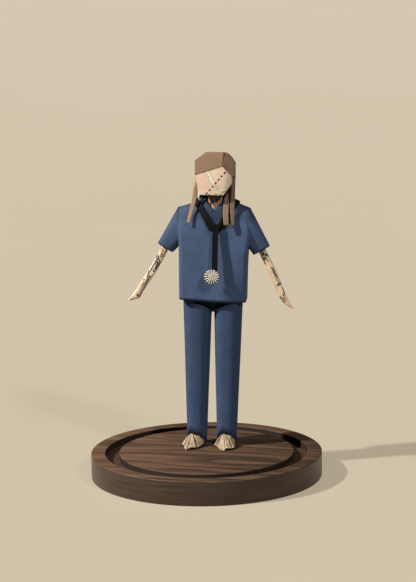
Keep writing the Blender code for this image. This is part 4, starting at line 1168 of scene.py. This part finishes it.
def make_neck():
    sections = [(mm(NECK_X, y, z), mm(wide, 0, 0), mm(0, deep, 0)) for z, y, wide, deep in NECK_RINGS]
    bm = tube(sections, (1.35, 1.35), 32)
    show("creased_neck", bm, MAP_NECK, "figure", ["neck"], smooth=40)


make_neck()

# %% [markdown]
# ## Face
# The head is a folded box and the face is one sheet over its front, with a ridge between the front and
# one cheek. It has no features, only the print: a cream road and a dashed railway cross it. A block is
# cut by the same planes as the solid head, each moved out by the room that the paper takes.

# %% Head planes
HEAD_CUTS = [
    ((0, -8.2, 0), (0, -1, 0)), ((5.2, -8.2, 0), (0.34, -0.94, 0)), ((8.8, 0, 0), (1, 0, 0)),
    ((-7.35, 0, 0), (-1, 0, 0)), ((0, 7.6, 0), (0, 1, 0)), ((8.8, 4.6, 0), (1, 1.3, 0)),
    ((-7.35, 4.6, 0), (-1, 1.3, 0)), ((0, -8.2, 154.7), (0, 0.24, 0.97)),
    ((-2.1, -9.9, 155.4), (-0.605, 0.15, 0.78)), ((6.1, -9.9, 155.5), (0.79, 0.131, 0.6)),
    ((0, 4.4, 151.6), (0, 0.75, 0.66)), ((0, 0, 134.4), (0, 0, -1)),
    ((-5.3, 0, 134.4), (-0.967, 0, -0.256)), ((8.7, 0, 140), (0.833, 0, -0.553)),
    ((0, 6, 134.4), (0, 0.6, -0.8)),
]
FACE_ROOM = 0.6
HAIR_ROOM = 1.16
FRINGE_ROOM = 0.84
FRONT_PLANES = 2
CHIN_Z = 134.35
FACE_BACK = -2
FACE_TOP = 149.4
OUTER_WALL = (PAPER, 1, True)


def head_block(room, front_room):
    bm = bmesh.new()
    bmesh.ops.create_cube(bm, size=0.4)
    for index, (point, normal) in enumerate(HEAD_CUTS):
        outward = Vector(normal).normalized()
        away = front_room if index < FRONT_PLANES else room
        cut(bm, mm(*point) + outward * away * MM, outward, close=True)
    return bm


print("head planes:", len(HEAD_CUTS))


# %% Face print
PALE = (0.79, 0.68, 0.46)
ROAD = ((-1.69, 144.29), (1.25, 139.5))
ROAD_MARKS = 1.47
RAILWAY = ((-2.71, 134.84), (6.52, 145.76))
RAIL_DASHES = 2.38
FACE_SIGNS = [
    (136.7, 0.5, 5.4, 1.5, 0, PALE), (134.31, 0.2, 5.8, 1.4, 0.3, OLIVE),
    (134.6, 0.28, 1.9, 0.95, 0, (0.13, 0.09, 0.05)), (134.5, 0.22, -1.4, 0.6, 0, OLIVE),
    (134.3, 0.35, 4.8, 0.8, 0, OLIVE), (139.3, 0.3, 2.1, 0.35, -0.5, OLIVE),
    (137.4, 0.25, 3.1, 0.5, 0, (0.34, 0.3, 0.21)), (144.85, 0.22, 4, 0.3, 0, OLIVE),
]


def face_print(spot):
    """Peach land with a cream road, a dashed railway and a speckled lower corner."""
    x, z = figure_xz(spot)
    fray = (spot.cloud(0.9, 3, 0.7) - 0.5) * 0.8
    land = spot.cloud(0.22, 2).rise(0.3, 0.7).tint((0.73, 0.485, 0.305), (0.79, 0.55, 0.36))
    corner = ((x - 3) * 0.25 - (z - 138) * 0.97).rise(-0.6, 1.2) * x.rise(-1, 2.5)
    specks = spot.cells("F1", 1.1).rise(0.36, 0.2) * corner * spot.cloud(0.3, 2).rise(0.42, 0.55)
    land = land.printed((corner * 0.7, (0.78, 0.64, 0.42)), (specks * 0.8, (0.16, 0.15, 0.09)))
    land = lay_signs(land, z + fray, x + fray, FACE_SIGNS)
    travel, aside = line_frame(spot, *ROAD)
    laid = travel.rise(5.6, 5.2)
    marks = (((travel + 0.9) / ROAD_MARKS + 0.5).wrap() - 0.5).size().rise(0.22, 0.14) * travel.rise(1.2, 0.9)
    land = land.printed(
        (aside.size().rise(1.26, 1.12) * laid * 0.8, (0.24, 0.18, 0.105)),
        (aside.size().rise(1.02, 0.92) * laid, PALE),
        ((aside + 0.32).size().rise(0.3, 0.18) * marks * 0.8, INK))
    travel, aside = line_frame(spot, *RAILWAY)
    dashes = ((travel / RAIL_DASHES + 0.5).wrap() - 0.5).size().rise(0.35, 0.29)
    return land.printed(
        (aside.size().rise(0.55, 0.4) * 0.6, PALE),
        (aside.size().rise(0.46, 0.3) * dashes, (0.016, 0.013, 0.01)))


MAP_FACE = map_paper("map_face", face_print)
print("face paper ready")


# %% Face
def make_face():
    bm = head_block(FACE_ROOM, FACE_ROOM)
    cut(bm, mm(0, 0, CHIN_Z), -Z_AXIS, close=True)
    cut(bm, mm(0, FACE_BACK, 0), Y_AXIS)
    cut(bm, mm(0, 0, FACE_TOP), Z_AXIS)
    show("folded_face", bm, MAP_FACE, "head", ["face"], OUTER_WALL, (0.25,), smooth=28)


def white_back(spot):
    fibres = spot.cloud(1.5, 3, 0.6)
    return {"Base Color": fibres.tint((0.74, 0.73, 0.71), (0.84, 0.83, 0.81)), "Roughness": 0.8,
            "Normal": fibres.relief(0.15, 0.08)}


def make_jaw_fold():
    """A small white fold of the map sheet's back that shows beside the jaw."""
    knots = ((-7.2, -4.6, 135.3, 0.1), (-7.7, -4.6, 132.9, 0.65), (-7.45, -4.4, 130.9, 0.1))
    bm = ribbon([(mm(x, y, z), mm(half, -0.2 * half, 0)) for x, y, z, half in knots])
    show("white_jaw_fold", bm, make_finish("map_back_white", white_back), "head", [], (0.25, 0))


make_face()
make_jaw_fold()

# %% [markdown]
# ## Hair
# The hair is brown kraft paper: fibres lie level in the sheet, with paler and darker flecks. Its cut
# edges are a little lighter than its face. Three sheets wrap the head: the fringe, a side piece that
# meets it at the parting, and the back.


# %% Kraft paper finish
def kraft_paper(name, tone_and_painted_shade):
    def draw(spot):
        fibres = spot.stretch((0.35, 0.35, 2.6)).cloud(1, 3, 0.65)
        flecks = spot.stretch((0.6, 0.6, 2.2), turn=(0, 0.25, 0)).cloud(1.7, 2, 0.7)
        mottle = spot.cloud(0.16, 2)
        tone = fibres * 0.55 + mottle * 0.35 + flecks * 0.1
        brown = tone.ramp(
            (0.3, (0.221, 0.124, 0.062)), (0.5, (0.307, 0.178, 0.091)), (0.7, (0.388, 0.232, 0.122)))
        # The last layer darkens the kraft: a light mottled darkening for the hair, painted shade for the two
        # left strands.
        brown = brown.printed(
            (flecks.rise(0.62, 0.76) * 0.4, (0.475, 0.306, 0.176)),
            (flecks.rise(0.36, 0.26) * 0.4, (0.152, 0.085, 0.044)),
            (spot.painted("across").size().rise(0.82, 1) * 0.25, (0.5, 0.33, 0.19)),
            (mottle * 0.2 + tone_and_painted_shade, (0.055, 0.029, 0.014)))
        return {"Base Color": brown, "Roughness": 0.66 + fibres * 0.16, "Normal": fibres.relief(0.3, 0.12)}

    return make_finish(name, draw)


KRAFT = kraft_paper("kraft_fibre", -0.1)
# The two left strands get darker copies of the kraft: painted shade.
KRAFT_STRANDS = {"right": KRAFT, "left_inner": kraft_paper("kraft_painted_shade", 0.43),
                 "left_outer": kraft_paper("kraft_painted_deep_shade", 0.54)}
print("kraft paper ready")

# %% Hair sheets
PARTING = mm(5.05, 0, 149.2)
PARTING_LEAN = Vector((1, 0, -0.21)).normalized()
PARTING_GAP = PARTING_LEAN * 0.12 * MM
HAIR_SEAM = mm(0, 2, 0)
BACK_SEAM = mm(0, 2.3, 0)
BACK_HEM = 137
BACK_END = 123
BACK_CORNER = 6
BACK_REAR = 7.76
BACK_FLARE = 2.6
HAIR_CUTS = {
    "fringe": ((HAIR_SEAM, Y_AXIS), (PARTING - PARTING_GAP, PARTING_LEAN),
               (PARTING, Vector((4.8, 0, -13.5)))),
    "side": ((HAIR_SEAM, Y_AXIS), (PARTING + PARTING_GAP, -PARTING_LEAN),
             (PARTING, Vector((-5.8, 0, -4.95)))),
    "back": ((BACK_SEAM, -Y_AXIS), (mm(0, 0, BACK_HEM), -Z_AXIS)),
}


def lengthen_back(bm):
    """Draw the rear hem down behind the collar."""
    hem = []
    for edge in bm.edges:
        low = all(vert.co.z < (BACK_HEM + 0.001) * MM for vert in edge.verts)
        if low and max(vert.co.y for vert in edge.verts) > BACK_CORNER * MM:
            hem.append(edge)
    for vert in extruded(bm, hem):
        vert.co.z = BACK_END * MM
        vert.co.y = max(vert.co.y, BACK_REAR * MM) + BACK_FLARE * MM


def make_hair():
    for name, planes in HAIR_CUTS.items():
        bm = head_block(HAIR_ROOM, FRINGE_ROOM)
        for point, normal in planes:
            cut(bm, point, normal)
        if name == "back":
            lengthen_back(bm)
        show("kraft_" + name, bm, KRAFT, "head", ["hair_" + name], OUTER_WALL, (0.2,))


make_hair()

# %% [markdown]
# ## Hanging strands
# Three narrow strips are cut from the same kraft paper and hang from under the hair. A strip is a narrow
# grid laid along a smooth route, turning from edge-on at the temple to face-on at its end. The two strips
# on the left get a darker kraft, as painted shade.

# %% Strands
STRIP_WALL = (0.35, 0)
STRAND_STEPS = 36
STRANDS = {
    "right": [
        (-8.8, -5.6, 143.7, 0.05, -0.7), (-8.8, -6.8, 139, 0.7, -0.3), (-9.1, -6.9, 133.5, 1.3, -0.1),
        (-9.95, -7.5, 129.1, 1.1, 0), (-12.12, -9.7, 119.2, 0.85, 0.05)],
    "left_inner": [
        (9.4, 0.9, 145.5, 0.02, -0.7), (9.3, 0.4, 140.4, 0.25, -0.3), (8.8, -0.6, 136.7, 0.8, 0.15),
        (7.5, -3.6, 132.4, 1.45, 0.3), (7.2, -7.6, 127.8, 1.45, 0.25), (7.55, -10.4, 122.2, 1.4, 0.2),
        (7.95, -11.3, 119.1, 1.35, 0.2)],
    "left_outer": [
        (10.5, -3.4, 142.3, 0.5, 0.2), (10.55, -4.2, 140.1, 0.8, 0.3), (10.5, -5.2, 135.9, 0.95, 0.3),
        (10.48, -7.75, 127.3, 1.15, 0.2), (11, -10.3, 118.5, 0.7, 0.2)],
}


def smooth_route(points, count):
    """Points along a smooth curve through the given ones."""
    route = []
    last = len(points) - 1
    for place in spaced(0, last, count):
        index = min(int(place), last - 1)
        share = place - index
        a, b = points[max(index - 1, 0)], points[index]
        c, d = points[index + 1], points[min(index + 2, last)]
        bend = (2 * a - 5 * b + 4 * c - d) * share ** 2 + (3 * b - a - 3 * c + d) * share ** 3
        route.append(0.5 * (2 * b + (c - a) * share + bend))
    return route


def make_strand(name):
    route = smooth_route([Vector(knot[:3]) for knot in STRANDS[name]], STRAND_STEPS)
    halves = smooth_route([Vector((*knot[3:], 0)) for knot in STRANDS[name]], STRAND_STEPS)
    bm = ribbon([(point * MM, half * MM) for point, half in zip(route, halves)], 4, 0.1)
    show("kraft_strand_" + name, bm, KRAFT_STRANDS[name], name + "_lock", [name + "_strand"],
         STRIP_WALL, smooth=40)


for name in STRANDS:
    make_strand(name)

# %% [markdown]
# ## Black strip
# The listening tube is a strip of black paper: a loop round the neck, its ends joined on the chest, and a
# tail with the rosette. Black paper is never quite black: its edges rub grey and its fibres catch the
# light.


# %% Black paper finish
def black_paper(spot):
    tooth = spot.cloud(2.6, 3, 0.65)
    black = (tooth * 0.5 + spot.cloud(0.4, 2) * 0.5).tint((0.003, 0.003, 0.0028), (0.009, 0.0086, 0.0074))
    edge = spot.painted("across").size().rise(0.86, 1)
    return {"Base Color": (edge * 0.2).tint(black, (0.05, 0.048, 0.044)), "Roughness": 0.68 + tooth * 0.2,
            "Normal": tooth.relief(0.25, 0.1), "Specular IOR Level": 0.07}


BLACK = make_finish("black_strip_paper", black_paper)
print("black paper ready")

# %% Strap
STRAP_WIDTH = 3.2
STRAP_LIFT = 1.02
UNDER_LIFT = 0.6
STRAP_STEPS = 81


def on_front(x, z, lift):
    return Vector((x, front_surface(x, z) - lift, z))


def make_strap():
    first = [on_front(x, z, STRAP_LIFT) for x, z in ((0.5, 115.8), (-2.7, 121.6), (-6.4, 127.2))]
    over = [(-9, -3.2, 130.4), (-8, 0.8, 131.5), (-4.2, 4.3, 131.6), (2.4, 5.3, 131.7), (9, 3.6, 130.9),
            (12, -1, 129.7)]
    last = [on_front(x, z, UNDER_LIFT) for x, z in ((9.6, 127), (6.3, 121.6), (3.2, 115.8))]
    facing = [(-0.1, -1, 0.1), (-0.1, -1, 0.2), (-0.2, -1, 0.5), (-0.4, -0.7, 0.8), (-0.5, 0.3, 0.9),
              (-0.4, 0.9, 0.6), (0, 1, 0.6), (0.5, 0.8, 0.8), (0.34, -0.4, 1), (0.2, -1, 0.5),
              (0.1, -1, 0.2), (0.1, -1, 0.1)]
    route = smooth_route(first + [Vector(point) for point in over] + last, STRAP_STEPS)
    outward = smooth_route([Vector(direction).normalized() for direction in facing], STRAP_STEPS)
    stations = []
    for (before, point, after), away in zip(with_neighbours(route), outward):
        across = (after - before).cross(away).normalized()
        stations.append((point * MM, across * STRAP_WIDTH / 2 * MM))
    show("black_strap", ribbon(stations, 4), BLACK, "figure", ["neck_strap"],
         STRIP_WALL, smooth=40)


make_strap()

# %% Tail
TAIL_WIDTH = 3
TAIL_LIFT = 1.75
TAIL_X = 2.1
TAIL_TOP = 114.9
TAIL_BOTTOM = 89.4
TAIL_TILT = math.radians(3)
KEEPER_TOP = 119.2
TAIL_FRONT = front_surface(TAIL_X, TAIL_TOP) - TAIL_LIFT


def swing(front):
    """The tail hangs a few degrees forward from where it is folded over."""
    hinge = mm(TAIL_X, front, TAIL_TOP)
    return Matrix.Translation(hinge) @ Matrix.Rotation(-TAIL_TILT, 4, "X") @ Matrix.Translation(-hinge)


def make_tail(front):
    half = mm(TAIL_WIDTH / 2, 0, 0)
    keeper = [(mm(TAIL_X, front, z), half * 1.05) for z in spaced(KEEPER_TOP, TAIL_TOP + 0.3, 4)]
    show("black_keeper", ribbon(keeper, 2), BLACK, "figure", ["strap_keeper"], STRIP_WALL)
    tail = [(mm(TAIL_X - 0.1 * share, front, lerp((TAIL_TOP, TAIL_BOTTOM), share)), half)
            for share in spaced(0, 1, 16)]
    show("black_tail", ribbon(tail, 4), BLACK, "hanging_tail", ["strap_tail"], STRIP_WALL,
         place=STAND @ swing(front))


make_tail(TAIL_FRONT)

# %% [markdown]
# ## Rosette
# The rosette is the finest piece of folding: a printed strip pleated sixteen times and drawn into a ring.
# A filled circle is inset into rings, and each ring is waved up and down so that ridges and valleys grow
# towards the rim. The valleys are painted dark, most of all in the lower half: painted shade.

# %% Rosette
ROSETTE = Vector((0.9, 0, 92.1))
ROSETTE_RADIUS = 3.95
ROSETTE_FLAT = 1.15
PLEATS = 16
ROSETTE_RINGS = (0.6, 0.6, 0.55, 0.55, 0.45)
ROSETTE_AHEAD = 2.05
ROSETTE_WALL = (0.3, 0)
PLEAT_HEIGHT = 0.42
PLEAT_PULL = 0.06
MIDDLE_HEIGHT = 0.35


def rosette_paper(spot):
    band = spot.swirl(0.8, 0.6).cloud(0.55, 2)
    sheet = band.ramp((0.38, (0.33, 0.285, 0.2)), (0.5, (0.43, 0.37, 0.26)), (0.66, (0.52, 0.455, 0.335)))
    # Painted shade: the pleat valleys are darkened.
    valley_shade = spot.painted("fold").rise(0.15, 0.55) * 0.94
    return {"Base Color": valley_shade.tint(sheet, (0.03, 0.022, 0.012)), "Roughness": 0.6,
            "Normal": spot.cloud(4, 2).relief(0.15, 0.08)}


def make_rosette(front):
    bm = bmesh.new()
    fold = bm.verts.layers.float.new("fold")
    bmesh.ops.create_circle(bm, cap_ends=True, segments=8 * PLEATS, radius=ROSETTE_RADIUS * MM)
    for thickness in ROSETTE_RINGS:
        middle = max(bm.faces, key=lambda face: len(face.verts))
        bmesh.ops.inset_region(
            bm, faces=[middle], thickness=thickness * MM, use_boundary=True, use_even_offset=True)
    for vert in bm.verts:
        radius = Vector((vert.co.x, vert.co.y)).length / MM
        out = clamp01((radius - ROSETTE_FLAT) / (ROSETTE_RADIUS - ROSETTE_FLAT))
        wave = math.cos(PLEATS * math.atan2(vert.co.y, vert.co.x))
        reach = 1 + PLEAT_PULL * out * (wave - 1)
        height = lerp((MIDDLE_HEIGHT, PLEAT_HEIGHT * wave), out)
        # Painted shade is strongest in the valleys of the lower half.
        lower_shade = clamp01(0.35 - vert.co.y / (ROSETTE_RADIUS * MM))
        vert[fold] = clamp01(out / 0.25) * clamp01(0.45 - 1.5 * wave) * (0.45 + 0.55 * lower_shade)
        vert.co = Vector((vert.co.x * reach, vert.co.y * reach, height * MM))
    bm.transform(Matrix.Rotation(math.pi / 2, 4, "X"))
    bmesh.ops.translate(bm, vec=mm(ROSETTE.x, front - ROSETTE_AHEAD, ROSETTE.z), verts=bm.verts)
    fresh_normals(bm)
    show("pleated_rosette", bm, make_finish("rosette_print", rosette_paper), "hanging_tail",
         ["rosette"], ROSETTE_WALL, smooth=50, place=STAND @ swing(front))


make_rosette(TAIL_FRONT)

# %% [markdown]
# ## Hidden supports
# Rods, wires and card boxes hold the figure up from inside. Their solids are right as they are, so they
# stay and get simple true finishes: drawn steel with fine lines along it, and grey-beige card with a
# fibre fleck.


# %% Hidden supports
def drawn_steel(spot):
    lines = spot.stretch((6, 6, 0.3)).cloud(1, 2)
    return {"Base Color": lines.tint((0.42, 0.42, 0.43), (0.62, 0.62, 0.63)), "Roughness": 0.28 + lines * 0.2,
            "Metallic": 1}


def grey_card(spot):
    fleck = spot.cloud(1.4, 3, 0.7)
    return {"Base Color": fleck.tint((0.46, 0.41, 0.33), (0.68, 0.62, 0.52)), "Roughness": 0.85,
            "Normal": fleck.relief(0.2, 0.1)}


SUPPORTS = {
    make_finish("drawn_steel", drawn_steel): [
        "right_leg_rod", "left_leg_rod", "shoulder_wire", "right_arm_wire", "left_arm_wire", "neck_pin"],
    make_finish("grey_card", grey_card): ["torso_core", "rosette_backing"],
    KRAFT: ["head_core"],
    TROUSER_BLUE: ["trouser_seat"],
}
for finish, names in SUPPORTS.items():
    for node in names:
        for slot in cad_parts[node].material_slots:
            slot.material = finish
    print(finish.name, "on", names)
